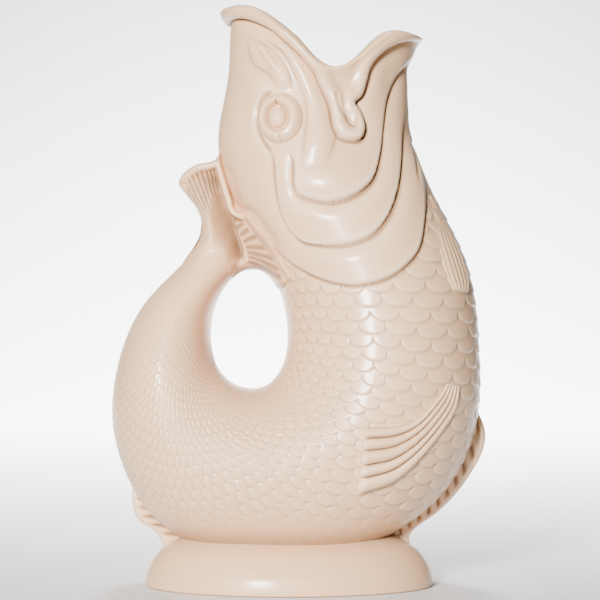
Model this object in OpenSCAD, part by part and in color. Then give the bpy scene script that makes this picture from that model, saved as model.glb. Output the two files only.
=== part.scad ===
// A gurgle jug in the form of a fish that stands on its belly and curls its tail up its back.
// One tube runs from the open mouth down the throat, round the bowl and up the tail.
// It is set out as a ladder of stations, each an oval between a back edge and a front edge.
// The tail is closed at its top, so it traps the air that gurgles when the jug pours.
// X runs from the tail to the throat, Y across the jug and Z up, with the origin under its middle.

/* [Jug] */
// Height from the foot to the top of the upper lip
jug_height = 250; // [200:1:300]
// Length from the back of the tail to the edge of the front fin
jug_length = 160; // [135:1:190]
// Depth across the widest part of the bowl
jug_depth = 101; // [85:1:120]

/* [Pottery] */
// Thickness of the cast wall
wall = 4.5; // [3:0.1:5.5]
// Thickness of the slip between a luted relief and the wall that carries it
slip_gap = 0.3; // [0.2:0.05:0.4]

/* [Foot] */
// Height of the foot
foot_height = 19; // [15:0.5:23]
// Length of the foot where it stands
foot_length = 123; // [115:1:135]
// Depth of the foot where it stands
foot_depth = 88; // [80:1:96]
// How far the foot draws in from its widest line to its top
foot_flare = 8; // [5:0.5:9]
// Width of the ring that the foot stands on
foot_ring = 7; // [5:0.5:10]
// Thickness of the plate over the hollow of the foot
foot_plate = 5; // [4:0.5:7]

/* [Reliefs] */
// Height of the gill plates above the cheek
gill_height = 2.6; // [1.5:0.1:3.5]
// Height of the strap of the upper jaw
jaw_height = 2.8; // [1.5:0.1:4]
// Length of the eye ring
eye_length = 23; // [18:0.5:26]
// Width of the eye ring
eye_width = 18.5; // [14:0.5:20]
// Height of the eye ring
eye_height = 3.2; // [2:0.1:4]
// Height of the free end of a side fin
side_fin_height = 4.2; // [2:0.1:6]
// Height of a fin beside the throat
breast_fin_height = 3; // [2:0.1:4]

/* [Fins] */
// Thickness of a keel fin where it leaves the body
keel_thickness = 9; // [6:0.5:12]
// Thickness of a keel fin at its edge
keel_edge = 2.4; // [2:0.1:4]
// Thickness of the tail fin along its rim
tail_fin_thickness = 26; // [20:0.5:30]
// Number of rays in a side fin
side_fin_rays = 6; // [4:1:8]
// Number of folds in the front fin
keel_folds = 8; // [4:1:10]

/* [Hidden] */

// Colour of the glaze
cream = [0.91, 0.86, 0.79];
// Which way the two sides of the jug lie from its middle
left = 1;
right = -1;

// Stations from the lips, down the bowl and up the tail.
// Each row gives the back edge's x and z, the front edge's x and z, and the half depth.
// x is a share of the length from mid length, z of the height, and the depth of the depth.
station_shares = [
    [-0.217, 0.985, 0.333, 0.935, 0.327],
    [-0.193, 0.957, 0.309, 0.914, 0.310],
    [-0.190, 0.916, 0.292, 0.871, 0.310],
    [-0.198, 0.854, 0.290, 0.821, 0.327],
    [-0.220, 0.778, 0.301, 0.768, 0.356],
    [-0.206, 0.699, 0.336, 0.701, 0.390],
    [-0.150, 0.620, 0.392, 0.624, 0.418],
    [-0.082, 0.546, 0.443, 0.552, 0.442],
    [-0.044, 0.479, 0.468, 0.476, 0.463],
    [-0.035, 0.421, 0.477, 0.397, 0.480],
    [-0.050, 0.375, 0.476, 0.311, 0.493],
    [-0.088, 0.345, 0.441, 0.223, 0.500],
    [-0.136, 0.338, 0.344, 0.137, 0.497],
    [-0.177, 0.345, 0.160, 0.064, 0.487],
    [-0.206, 0.359, -0.055, 0.046, 0.471],
    [-0.228, 0.378, -0.282, 0.072, 0.450],
    [-0.239, 0.404, -0.425, 0.146, 0.428],
    [-0.240, 0.436, -0.495, 0.254, 0.392],
    [-0.233, 0.469, -0.495, 0.356, 0.342],
    [-0.209, 0.505, -0.446, 0.454, 0.280],
    [-0.174, 0.536, -0.363, 0.527, 0.212],
    [-0.155, 0.562, -0.290, 0.579, 0.155]];
// Stations where the head meets the bowl, the bowl the tail and the tail its fin
neck_station = 6;
tail_station = 16;
wrist_station = 20.6;
// How far the mouth's edge rises above its chord, in even steps from the back to the front
mouth_shares = [0.0065, 0.0105, 0.0018, -0.0173, -0.0437, -0.0744, -0.0734, -0.042, -0.0087, 0.0028, 0.004];
// How much of that rise is left at each station below the lips
mouth_fade_shares = [1, 0.93, 0.72, 0.36, 0.08, 0, 0];

// Gill plates: rows from the eye round to the corner of the mouth.
// Each row gives x and z of the cheek's edge and of the edges of the three plates.
gill_shares = [
    [0.047, 0.747, -0.036, 0.746, -0.077, 0.744, -0.115, 0.730],
    [0.053, 0.734, -0.015, 0.711, -0.053, 0.699, -0.115, 0.670],
    [0.063, 0.720, -0.001, 0.675, -0.039, 0.637, -0.077, 0.593],
    [0.074, 0.716, 0.047, 0.661, 0.018, 0.591, 0.012, 0.540],
    [0.090, 0.716, 0.101, 0.661, 0.101, 0.577, 0.125, 0.509],
    [0.112, 0.722, 0.155, 0.675, 0.201, 0.598, 0.249, 0.526],
    [0.139, 0.737, 0.187, 0.699, 0.252, 0.637, 0.319, 0.570],
    [0.177, 0.765, 0.214, 0.756, 0.276, 0.741, 0.333, 0.665],
    [0.209, 0.837, 0.239, 0.842, 0.276, 0.820, 0.311, 0.740]];
// A plate's height across its band, from its inner edge to its rolled outer edge
plate_shares = [[0, 0.35], [0.4, 0.8], [0.85, 1], [1, 0.6]];

// Strap of the upper jaw: x, z and half width, as a share of the length, down to its lobe
jaw_shares = [
    [-0.066, 0.946, 0.012],
    [-0.006, 0.914, 0.015],
    [0.046, 0.872, 0.018],
    [0.084, 0.832, 0.026],
    [0.113, 0.801, 0.032],
    [0.138, 0.777, 0.022]];

// Middle of the eye
eye_spot_shares = [-0.056, 0.802];
// Height across the eye from its middle: the pupil, the groove round it and the rounded ring
eye_profile_shares = [[0, 1], [0.26, 0.8], [0.4, 0.5], [0.52, 0.85], [0.72, 1], [0.9, 0.75], [1, 0.2]];

// Side fin: rows from its root to its free end, each with x and z of its upper and lower edge
side_fin_shares = [
    [0.392, 0.345, 0.420, 0.333],
    [0.368, 0.318, 0.403, 0.290],
    [0.311, 0.289, 0.368, 0.247],
    [0.252, 0.275, 0.301, 0.203],
    [0.204, 0.270, 0.225, 0.174],
    [0.163, 0.266, 0.152, 0.155]];
side_fin_rise_shares = [0.3, 0.35, 0.45, 0.6, 0.8, 1];

// Fin beside the throat: rows from its root to its tip, with x and z of its back and front edge
breast_fin_shares = [
    [0.344, 0.675, 0.358, 0.662],
    [0.357, 0.641, 0.383, 0.617],
    [0.368, 0.603, 0.408, 0.582],
    [0.381, 0.565, 0.426, 0.555],
    [0.398, 0.529, 0.438, 0.524],
    [0.419, 0.503, 0.433, 0.500]];
breast_fin_rise_shares = [0.3, 0.5, 0.7, 0.9, 1, 0.5];

// Edges of the keel fins, x and z, and the stations between which they leave the body
front_keel_shares = [
    [0.486, 0.330],
    [0.495, 0.287],
    [0.500, 0.259],
    [0.487, 0.222],
    [0.441, 0.167],
    [0.379, 0.120],
    [0.317, 0.098],
    [0.297, 0.080]];
front_keel_stations = [9.7, 12.6];
rear_keel_shares = [
    [-0.374, 0.080],
    [-0.391, 0.088],
    [-0.418, 0.103],
    [-0.448, 0.120],
    [-0.459, 0.153],
    [-0.459, 0.178]];
rear_keel_stations = [15.3, 16.3];

// Fan of the tail: rows from its back edge over its top and down the neck to the handle's arch.
// Each row gives its place across the wrist, then x, z and half thickness at the fan's waist,
// then x, z and half thickness at its rim, the thicknesses as shares of the rim's.
fan_shares = [
    [0.00, -0.266, 0.617, 0.10, -0.273, 0.634, 0.08],
    [0.06, -0.256, 0.613, 0.55, -0.293, 0.662, 0.22],
    [0.14, -0.242, 0.611, 0.72, -0.327, 0.692, 0.36],
    [0.24, -0.228, 0.608, 0.80, -0.309, 0.711, 0.55],
    [0.36, -0.214, 0.606, 0.84, -0.263, 0.724, 0.75],
    [0.48, -0.201, 0.603, 0.86, -0.225, 0.736, 0.92],
    [0.60, -0.187, 0.600, 0.86, -0.212, 0.699, 1.00],
    [0.72, -0.174, 0.596, 0.84, -0.183, 0.655, 1.00],
    [0.84, -0.160, 0.588, 0.78, -0.148, 0.612, 1.00],
    [0.94, -0.156, 0.573, 0.62, -0.112, 0.567, 0.90],
    [1.00, -0.156, 0.552, 0.10, -0.088, 0.532, 0.50]];
// How far the free rim's middle stands out, as a share of its half thickness
rim_crown_share = 0.12;
// First row of the fan that lies against the neck, and the stations of the neck that it follows
fan_neck_row = 5;
fan_neck_stations = [4.55, 7.2];

// Profile of the foot: z as a share of its height, and the drawing in as a share of its flare
foot_profile_shares = [
    [0, 0.1], [0.05, 0], [0.28, 0], [0.45, 0.18], [0.62, 0.5], [0.8, 0.72], [0.94, 0.84], [1, 1]];
// Middle of the foot along the jug
foot_middle_share = -0.030;

// Counts of faces
tube_sides = 36;
foot_sides = 40;
search_steps = 16;

// Middle of the whole jug, so that the origin lies under it
back_reach = min([for (t = [16:0.1:19]) along(station_shares, t)[2]]) * jug_length;
front_reach = max([for (t = [0:0.1:4]) along(front_keel_shares, t)[0]]) * jug_length;
middle_x = (back_reach + front_reach) / 2;

// A smooth curve through the rows of a table, where t counts the rows
function along(table, t) =
    let (last = len(table) - 1,
         i = min(floor(max(t, 0)), last - 1),
         u = t - i,
         a = table[max(i - 1, 0)],
         b = table[i],
         c = table[i + 1],
         d = table[min(i + 2, last)])
    0.5 * (2 * b + (c - a) * u + (2 * a - 5 * b + 4 * c - d) * u ^ 2 + (3 * b - a - 3 * c + d) * u ^ 3);

// The spot on the jug's middle plane that a pair of shares names
function spot(x_share, z_share) = [x_share * jug_length - middle_x, z_share * jug_height];

// Rise of the mouth's edge at a share of the way from its back to its front
function mouth_rise(share, t) =
    t >= 5 ? 0
    : jug_height * along(mouth_fade_shares, t) * along(mouth_shares, share * (len(mouth_shares) - 1));

// A point of the tube at station t, and at angle a round it: 0 is the front, 180 the back.
// It is lifted off the outer skin, square to the station's oval, or sunk into the wall.
function skin(t, a, lift) =
    let (row = along(station_shares, t),
         back = spot(row[0], row[1]),
         front = spot(row[2], row[3]),
         middle = (back + front) / 2,
         reach = norm(front - back) / 2,
         depth = row[4] * jug_depth,
         way = (front - middle) / reach,
         slope = [cos(a) / reach, sin(a) / depth],
         out = slope / norm(slope),
         flat = middle + way * (reach * cos(a) + lift * out[0]))
    [flat[0], depth * sin(a) + lift * out[1], flat[1] + mouth_rise((1 + cos(a)) / 2, t)];

function ring_at(t, lift) = [for (i = [0:tube_sides - 1]) skin(t, 360 * i / tube_sides, lift)];

// The station whose chord passes through a spot on the jug's side, by halving
function chord_share(p, t) =
    let (row = along(station_shares, t),
         back = spot(row[0], row[1]),
         chord = spot(row[2], row[3]) - back)
    max(0.002, min(0.998, (p - back) * chord / (chord * chord)));

function below_chord(p, t) =
    let (row = along(station_shares, t),
         back = spot(row[0], row[1]),
         chord = spot(row[2], row[3]) - back,
         level = [p[0], p[1] - mouth_rise(chord_share(p, t), t)])
    cross(chord, level - back) < 0;

function station_of(p, low, high, steps) =
    let (t = (low + high) / 2)
    steps == 0 ? t
    : below_chord(p, t) ? station_of(p, t, high, steps - 1)
    : station_of(p, low, t, steps - 1);

// A point over a spot on the jug's side, lifted off the skin; side is left or right
function over_side(p, lift, side) =
    let (t = station_of(p, 0, 14, search_steps),
         a = acos(2 * chord_share(p, t) - 1),
         q = skin(t, a, lift))
    [q[0], side * q[1], q[2]];

// A point on the back of the neck at distance y from the middle plane
function on_back(t, y, lift) =
    let (depth = along(station_shares, t)[4] * jug_depth)
    skin(t, 180 - asin(y / depth), lift);

// Two triangles for a square of the mesh, its corners in order
function halves(a, b, c, d) = [[a, b, c], [a, c, d]];

// Faces between two rings of count points that start at the points numbered low and high
function ring_faces(low, high, count) =
    [for (i = [0:count - 1])
        let (k = (i + 1) % count)
        each halves(low + i, low + k, high + k, high + i)];

// Faces between rows of points, each row a closed ring of count points
function band_faces(rows, count) = [for (j = [0:rows - 2]) each ring_faces(j * count, (j + 1) * count, count)];

// Faces of an open sheet of rows by cols points, the first point numbered start
function sheet_faces(start, rows, cols) =
    [for (j = [0:rows - 2]) for (i = [0:cols - 2])
        let (a = start + j * cols + i)
        each halves(a, a + 1, a + cols + 1, a + cols)];

function backwards(list) = [for (i = [len(list) - 1:-1:0]) list[i]];

function turned(faces) = [for (f = faces) backwards(f)];

// A solid through rings of points; looped joins the last ring to the first, else both are capped
module ring_solid(rings, looped) {
    count = len(rings[0]);
    rows = len(rings);
    last = (rows - 1) * count;
    closing = looped
        ? ring_faces(last, 0, count)
        : [[for (i = [count - 1:-1:0]) i], [for (i = [0:count - 1]) last + i]];
    polyhedron([for (ring = rings) each ring], concat(band_faces(rows, count), closing));
}

// A solid between two like grids of points, the outer one first, closed round its border
module sheet_solid(outer, inner, side) {
    rows = len(outer);
    cols = len(outer[0]);
    count = rows * cols;
    ends = count - cols;
    border = concat(
        [for (i = [0:cols - 2]) each halves(i + 1, i, count + i, count + i + 1)],
        [for (i = [0:cols - 2])
            each halves(ends + i, ends + i + 1, count + ends + i + 1, count + ends + i)],
        [for (j = [0:rows - 2])
            let (a = j * cols)
            each halves(a, a + cols, count + a + cols, count + a)],
        [for (j = [0:rows - 2])
            let (a = j * cols + cols - 1)
            each halves(a + cols, a, count + a, count + a + cols)]);
    faces = concat(sheet_faces(0, rows, cols), turned(sheet_faces(count, rows, cols)), border);
    polyhedron(concat([for (row = outer) each row], [for (row = inner) each row]),
               side == right ? faces : turned(faces));
}

// A relief on the jug's side over a grid of [x, z, height], bedded on its slip
module relief(grid, side) {
    outer = [for (row = grid) [for (g = row) over_side([g[0], g[1]], slip_gap + g[2], side)]];
    inner = [for (row = grid) [for (g = row) over_side([g[0], g[1]], slip_gap, side)]];
    sheet_solid(outer, inner, side);
}

module foot_plinth() {
    middle = foot_middle_share * jug_length - middle_x;
    recess = foot_height - foot_plate;
    outside = [for (p = foot_profile_shares) [p[0] * foot_height, p[1] * foot_flare]];
    levels = backwards(concat([[recess, foot_ring + foot_flare]], [[0, foot_ring]], outside));
    rings = [for (level = levels)
        [for (i = [0:foot_sides - 1])
            let (a = 360 * i / foot_sides)
            [middle + (foot_length / 2 - level[1]) * cos(a),
             (foot_depth / 2 - level[1]) * sin(a),
             level[0]]]];
    color(cream) ring_solid(rings, false);
}

module belly_shell() {
    outer_steps = 34;
    inner_steps = 18;
    run = tail_station - neck_station;
    outer = [for (j = [0:outer_steps])
        [for (p = ring_at(neck_station + run * j / outer_steps, 0)) [p[0], p[1], max(p[2], foot_height)]]];
    inner = [for (j = [0:inner_steps])
        [for (p = ring_at(tail_station - run * j / inner_steps, -wall))
            [p[0], p[1], max(p[2], foot_height + wall)]]];
    color(cream) ring_solid(concat(outer, inner), true);
}

module head_shell() {
    outer_steps = 18;
    inner_steps = 12;
    outer = [for (j = [0:outer_steps]) ring_at(neck_station * (1 - (j / outer_steps) ^ 0.85), 0)];
    inner = [for (j = [0:inner_steps]) ring_at(neck_station * j / inner_steps, -wall)];
    sunk = wall / 2;
    lip = [for (a = [0, 45, 90, 135, 180])
        [for (p = ring_at(0, -sunk * (1 - cos(a)))) [p[0], p[1], p[2] + sunk * (sin(a) - 1)]]];
    throat = [for (j = [0:outer_steps - 1]) outer[j]];
    gullet = [for (j = [1:inner_steps]) inner[j]];
    color(cream) ring_solid(backwards(concat(throat, lip, gullet)), true);
}

module tail_shell() {
    outer_steps = 22;
    inner_steps = 12;
    run = wrist_station - tail_station;
    chamber = run - 0.35;
    outer = [for (j = [0:outer_steps]) ring_at(tail_station + run * j / outer_steps, 0)];
    inner = [for (j = [inner_steps:-1:0]) ring_at(tail_station + chamber * j / inner_steps, -wall)];
    count = tube_sides;
    rings = concat(outer, inner);
    last = (len(rings) - 1) * count;
    top = outer_steps * count;
    walls = [for (j = [0:len(rings) - 2]) if (j != outer_steps)
        each ring_faces(j * count, (j + 1) * count, count)];
    mouth = ring_faces(last, 0, count);
    caps = [[for (i = [0:count - 1]) top + i], [for (i = [count - 1:-1:0]) top + count + i]];
    color(cream) polyhedron([for (ring = rings) each ring], concat(walls, mouth, caps));
}

module tail_fin() {
    lines = 22;
    fan_steps = 6;
    edge_angle = 4;
    rows = len(fan_shares) - 1;
    rim_half = tail_fin_thickness / 2;
    neck_run = fan_neck_stations[1] - fan_neck_stations[0];
    wrist = along(station_shares, wrist_station);
    across = [for (i = [0:lines]) along(fan_shares, rows * i / lines)];
    // A point of one line of the fan: v is 0 at the wrist, 1 at the waist and 2 at the rim
    function fan_point(i, v, side) =
        let (f = across[i],
             a = edge_angle + (180 - 2 * edge_angle) * max(0, min(1, f[0])),
             root = skin(wrist_station, side * a, 0),
             waist = spot(f[1], f[2]),
             row = rows * i / lines,
             half = max(f[6], 0.08) * rim_half,
             t = fan_neck_stations[0] + neck_run * (row - fan_neck_row) / (rows - fan_neck_row),
             free = spot(f[4], f[5]),
             seat = on_back(max(t, 0), half, slip_gap),
             rim = row >= fan_neck_row ? [seat[0], side * half, seat[2]] : [free[0], side * half, free[1]],
             middle = [waist[0], side * max(f[3], 0.08) * rim_half, waist[1]],
             u = v - 1,
             hollow = 1 - 0.28 * sin(180 * max(0, min(1, u))))
        v <= 1
            ? root + (middle - root) * v
            : [for (k = [0:2]) (middle[k] + (rim[k] - middle[k]) * u) * (k == 1 ? hollow : 1)];
    function rim_middle(i) =
        let (f = across[i],
             row = rows * i / lines,
             t = fan_neck_stations[0] + neck_run * (row - fan_neck_row) / (rows - fan_neck_row),
             free = spot(f[4], f[5]),
             waist = spot(f[1], f[2]),
             crown = free + (free - waist) / norm(free - waist) * rim_crown_share * f[6] * rim_half,
             seat = on_back(max(t, 0), 0, slip_gap))
        row >= fan_neck_row ? seat : [crown[0], 0, crown[1]];
    rings = [for (j = [0:fan_steps])
        let (v = 2 * j / fan_steps)
        concat([for (i = [0:lines]) fan_point(i, v, left)],
               [for (i = [lines:-1:0]) fan_point(i, v, right)])];
    count = 2 * (lines + 1);
    last = fan_steps * count;
    spine = (fan_steps + 1) * count;
    rim_left = [for (i = [0:lines - 1])
        each halves(last + i, last + i + 1, spine + i + 1, spine + i)];
    rim_right = [for (i = [0:lines - 1])
        each halves(spine + i, spine + i + 1, last + count - 2 - i, last + count - 1 - i)];
    ends = [[last + count - 1, last, spine], [last + lines, last + lines + 1, spine + lines]];
    points = concat([for (ring = rings) each ring], [for (i = [0:lines]) rim_middle(i)]);
    faces = concat(band_faces(fan_steps + 1, count), [[for (i = [count - 1:-1:0]) i]],
                   rim_left, rim_right, ends);
    color(cream) polyhedron(points, faces);
}

// A fin that stands on the jug's middle plane between two stations, with folds along its edge
module keel_fin(edge_shares, stations, folds, steps) {
    rings = [for (j = [0:steps])
        let (v = j / steps,
             t = stations[0] + (stations[1] - stations[0]) * v,
             e = along(edge_shares, v * (len(edge_shares) - 1)),
             edge = spot(e[0], e[1]),
             foot = skin(t, 0, slip_gap),
             swell = 1 + 0.2 * cos(360 * folds * v),
             base_half = keel_thickness / 2 * swell * (0.45 + 0.55 * sin(180 * v)),
             edge_half = keel_edge / 2,
             middle_half = 0.65 * base_half + 0.35 * edge_half,
             low = foot_height + slip_gap,
             base = [foot[0], max(foot[2], low)],
             tip = [edge[0], max(edge[1], low)])
        [[base[0], -base_half, base[1]],
         [(base[0] + tip[0]) / 2, -middle_half, (base[1] + tip[1]) / 2],
         [tip[0], -edge_half, tip[1]],
         [tip[0], edge_half, tip[1]],
         [(base[0] + tip[0]) / 2, middle_half, (base[1] + tip[1]) / 2],
         [base[0], base_half, base[1]]]];
    color(cream) ring_solid(rings, false);
}

module front_keel_fin() {
    keel_fin(front_keel_shares, front_keel_stations, keel_folds, 32);
}

module rear_keel_fin() {
    keel_fin(rear_keel_shares, rear_keel_stations, keel_folds / 2, 16);
}

// A ribbed fin laid on the side: rows from root to tip, each between two edges
module laid_fin(edge_shares, rise_shares, height, rays, steps, cols, side) {
    grid = [for (j = [0:steps])
        let (v = j / steps,
             e = along(edge_shares, v * (len(edge_shares) - 1)),
             rise = height * along(rise_shares, v * (len(rise_shares) - 1)),
             upper = spot(e[0], e[1]),
             lower = spot(e[2], e[3]))
        [for (i = [0:cols])
            let (u = i / cols,
                 p = upper + (lower - upper) * u,
                 round_edge = i == 0 || i == cols ? 0.35 : 1,
                 ray = 0.86 + 0.14 * cos(360 * rays * u + 180))
            [p[0], p[1], rise * round_edge * ray]]];
    color(cream) relief(grid, side);
}

module pectoral_fin(side) {
    laid_fin(side_fin_shares, side_fin_rise_shares, side_fin_height, side_fin_rays, 7,
             2 * side_fin_rays, side);
}

module breast_fin(side) {
    laid_fin(breast_fin_shares, breast_fin_rise_shares, breast_fin_height, 2, 6, 4, side);
}

module eye(side) {
    rays = 20;
    middle = spot(eye_spot_shares[0], eye_spot_shares[1]);
    rounds = [for (p = eye_profile_shares) if (p[0] > 0)
        [for (i = [0:rays - 1])
            let (a = 360 * i / rays)
            [middle[0] + p[0] * eye_width / 2 * cos(a), middle[1] + p[0] * eye_length / 2 * sin(a),
             p[1] * eye_height]]];
    outer = [for (ring = rounds) [for (g = ring) over_side([g[0], g[1]], slip_gap + g[2], side)]];
    rim = rounds[len(rounds) - 1];
    inside = rounds[2];
    back = [for (ring = [inside, rim]) [for (g = ring) over_side([g[0], g[1]], slip_gap, side)]];
    peak = over_side(middle, slip_gap + eye_height * eye_profile_shares[0][1], side);
    root = over_side(middle, slip_gap, side);
    rings = concat(outer, [back[1], back[0]]);
    count = len(rings) * rays;
    tops = [for (i = [0:rays - 1]) [count, (i + 1) % rays, i]];
    roots = [for (i = [0:rays - 1]) [count + 1, count - rays + i, count - rays + (i + 1) % rays]];
    faces = concat(band_faces(len(rings), rays), tops, roots);
    color(cream) polyhedron(concat([for (ring = rings) each ring], [peak, root]),
                            side == right ? faces : turned(faces));
}

module gill_cover(side) {
    steps = 18;
    plates = 3;
    grid = [for (j = [steps:-1:0])
        let (g = along(gill_shares, j / steps * (len(gill_shares) - 1)))
        [for (k = [0:plates - 1]) for (p = plate_shares)
            let (inner_edge = spot(g[2 * k], g[2 * k + 1]),
                 outer_edge = spot(g[2 * k + 2], g[2 * k + 3]),
                 gap_share = k > 0 && p[0] == 0 ? 0.03 : p[0],
                 at = inner_edge + (outer_edge - inner_edge) * gap_share)
            [at[0], at[1], gill_height * p[1]]]];
    color(cream) relief(grid, side);
}

module jaw_strap(side) {
    steps = 14;
    rows = len(jaw_shares) - 1;
    across_shares = [-1, -0.6, 0, 0.6, 1];
    height_shares = [0.2, 0.8, 1, 0.8, 0.2];
    grid = [for (j = [0:steps])
        let (t = rows * j / steps,
             row = along(jaw_shares, t),
             ahead = along(jaw_shares, min(t + 0.1, rows)),
             behind = along(jaw_shares, max(t - 0.1, 0)),
             run = spot(ahead[0], ahead[1]) - spot(behind[0], behind[1]),
             square = [run[1], -run[0]] / norm(run),
             middle = spot(row[0], row[1]),
             half = row[2] * jug_length,
             end_round = j == 0 || j == steps ? 0.4 : 1)
        [for (i = [0:len(across_shares) - 1])
            let (p = middle - square * half * across_shares[i])
            [p[0], p[1], jaw_height * height_shares[i] * end_round]]];
    color(cream) relief(grid, side);
}

module pectoral_fin_left() { pectoral_fin(left); }
module pectoral_fin_right() { pectoral_fin(right); }
module breast_fin_left() { breast_fin(left); }
module breast_fin_right() { breast_fin(right); }
module eye_left() { eye(left); }
module eye_right() { eye(right); }
module gill_cover_left() { gill_cover(left); }
module gill_cover_right() { gill_cover(right); }
module jaw_strap_left() { jaw_strap(left); }
module jaw_strap_right() { jaw_strap(right); }

foot_plinth();
belly_shell();
head_shell();
tail_shell();
tail_fin();
front_keel_fin();
rear_keel_fin();
pectoral_fin_left();
pectoral_fin_right();
breast_fin_left();
breast_fin_right();
eye_left();
eye_right();
gill_cover_left();
gill_cover_right();
jaw_strap_left();
jaw_strap_right();
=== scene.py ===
"""The looks of a gurgle jug: a fish in cream glaze that stands on its belly over a flared foot.

Laid out as a Blender add-on, with one operator for each piece or group of like pieces. The skin is
one tube from the mouth down the throat, round the bowl and up the tail, worked out with numpy from
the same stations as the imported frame. Its reliefs are heights over that skin. The lines that they
follow are given in pixels of the photograph, 600 by 600, which a pinhole camera links to the skin.
"""

import math

import bpy
import numpy as np
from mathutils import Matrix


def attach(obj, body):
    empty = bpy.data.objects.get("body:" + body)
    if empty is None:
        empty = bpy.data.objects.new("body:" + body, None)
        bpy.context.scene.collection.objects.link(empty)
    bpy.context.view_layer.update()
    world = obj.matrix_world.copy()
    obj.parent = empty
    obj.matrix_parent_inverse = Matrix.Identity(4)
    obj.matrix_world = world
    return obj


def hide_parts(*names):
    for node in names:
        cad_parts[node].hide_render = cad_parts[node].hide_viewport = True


bl_info = {
    "name": "Gurgle jug looks",
    "version": (1, 0, 0),
    "blender": (4, 5, 0),
    "location": "3D View > Sidebar > Jug",
    "description": "Builds the glazed skin, fins, eyes and foot of a gurgle jug around its packed frame",
    "category": "Object",
}

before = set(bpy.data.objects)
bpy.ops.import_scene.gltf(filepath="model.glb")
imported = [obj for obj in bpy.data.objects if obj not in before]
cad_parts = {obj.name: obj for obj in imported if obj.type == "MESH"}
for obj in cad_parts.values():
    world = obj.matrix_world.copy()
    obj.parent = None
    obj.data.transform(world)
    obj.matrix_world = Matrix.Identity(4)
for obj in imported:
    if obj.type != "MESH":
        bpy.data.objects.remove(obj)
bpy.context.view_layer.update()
MM = 0.001

# Photograph: its middle in pixels, and the camera that looks along +Y at the jug's middle plane
PHOTO_MIDDLE = 300.0
PIXEL = 0.42955 * MM
CAMERA_X = -0.4 * MM
CAMERA_Z = 122.4 * MM
CAMERA_DISTANCE = 1.0
SENSOR = 36.0

# Stations from the lips, down the bowl and up the tail: the back edge's x and z, the front edge's
# x and z, and the half depth. x is a share of the length from mid length, z of the height.
STATION_SHARES = np.array([
    [-0.217, 0.985, 0.333, 0.935, 0.327],
    [-0.193, 0.957, 0.309, 0.914, 0.310],
    [-0.190, 0.916, 0.292, 0.871, 0.310],
    [-0.198, 0.854, 0.290, 0.821, 0.327],
    [-0.220, 0.778, 0.301, 0.768, 0.356],
    [-0.206, 0.699, 0.336, 0.701, 0.390],
    [-0.150, 0.620, 0.392, 0.624, 0.418],
    [-0.082, 0.546, 0.443, 0.552, 0.442],
    [-0.044, 0.479, 0.468, 0.476, 0.463],
    [-0.035, 0.421, 0.477, 0.397, 0.480],
    [-0.050, 0.375, 0.476, 0.311, 0.493],
    [-0.088, 0.345, 0.441, 0.223, 0.500],
    [-0.136, 0.338, 0.344, 0.137, 0.497],
    [-0.177, 0.345, 0.160, 0.064, 0.487],
    [-0.206, 0.359, -0.055, 0.046, 0.471],
    [-0.228, 0.378, -0.282, 0.072, 0.450],
    [-0.239, 0.404, -0.425, 0.146, 0.428],
    [-0.240, 0.436, -0.495, 0.254, 0.392],
    [-0.233, 0.469, -0.495, 0.356, 0.342],
    [-0.209, 0.505, -0.446, 0.454, 0.280],
    [-0.174, 0.536, -0.363, 0.527, 0.212],
    [-0.155, 0.562, -0.290, 0.579, 0.155]])
NECK_STATION = 6.0
TAIL_STATION = 16.0
WRIST_STATION = 20.6
CHAMBER_STATION = 20.25
RIM_STATION = 0.30

# Rise of the mouth's edge above its chord, in even steps from the back to the front, as a share
# of the height, and how much of it is left at each station below the lips
MOUTH_SHARES = np.array([
    0.0065, 0.0105, 0.0018, -0.0173, -0.0437, -0.0744, -0.0734, -0.042, -0.0087, 0.0028, 0.004])
MOUTH_FADE = np.array([1, 0.93, 0.72, 0.36, 0.08, 0, 0])
MOUTH_END_STATION = 5.0

# Rows of scales per station down the tube, and how many scales stand side by side at a station
ROW_STATIONS = [5, 9, 12, 15, 16, 20.6]
ROWS_PER_STATION = [3.0, 3.0, 3.7, 5.2, 6.4, 7.0]
COLUMN_STATIONS = [5, 8.5, 12, 14, 16, 18, 20.6]
COLUMN_COUNTS = [13.2, 13.2, 21, 32, 34, 31, 26]
# Width of a scale round the tube, from the front edge to the back edge in even steps
WIDTH_ANGLES = [0, 30, 60, 90, 120, 150, 180]
WIDTH_SHARES = [1.15, 1.45, 1.4, 1.15, 0.8, 0.6, 0.5]
# Station where the head's relief ends and station where the scales may start
HEAD_RELIEF_END = 9.5
SCALES_START = 5.0
# Spot under the handle where the scales fade, and rise of a scale in millimetres down the tube
HANDLE_SPOT = (262, 402)
RISE_STATIONS = [5, 12, 16, 20.6]
SCALE_RISES = [0.9, 0.85, 0.62, 0.4]

# Lines of the head, in pixels of the photograph
LIP_LINE = [
    (229, 25), (232, 19.8), (240.8, 18.3), (252.5, 20.5), (264.3, 25.7), (273, 30.8), (283.3, 39.6),
    (292, 47.7), (301, 56.5), (309.7, 67), (315.6, 75), (321.5, 88), (328.8, 102.7), (331.8, 117),
    (334.7, 129), (342, 138), (352, 140.5), (360, 139), (363.5, 132), (364, 126), (361.8, 117),
    (358, 109), (355, 102.7), (360, 98), (364, 90), (367, 78), (371, 65), (380, 54), (391, 46),
    (402, 42), (412.5, 41.3), (423, 44), (432, 47)]
LOBE_LINE = [(335.5, 94), (340.3, 111.6), (351.5, 126), (355.5, 121.2)]
CHEEK_EDGE = [
    (286.3, 148), (291, 155), (294.5, 163), (295.5, 175), (296, 186), (299, 193), (306, 197.2),
    (314.5, 199.8), (324.5, 201.6), (333.3, 201.6), (343, 199.2), (353, 195.3), (360.3, 190.8),
    (367.3, 184.8), (372, 178), (375.7, 169.5), (378.2, 160), (381, 148), (382.8, 136), (384.5, 125),
    (386.5, 112.5), (388.5, 103), (391.5, 94), (395, 85.5), (400, 75.5), (406.5, 66.5), (413, 56)]
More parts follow.
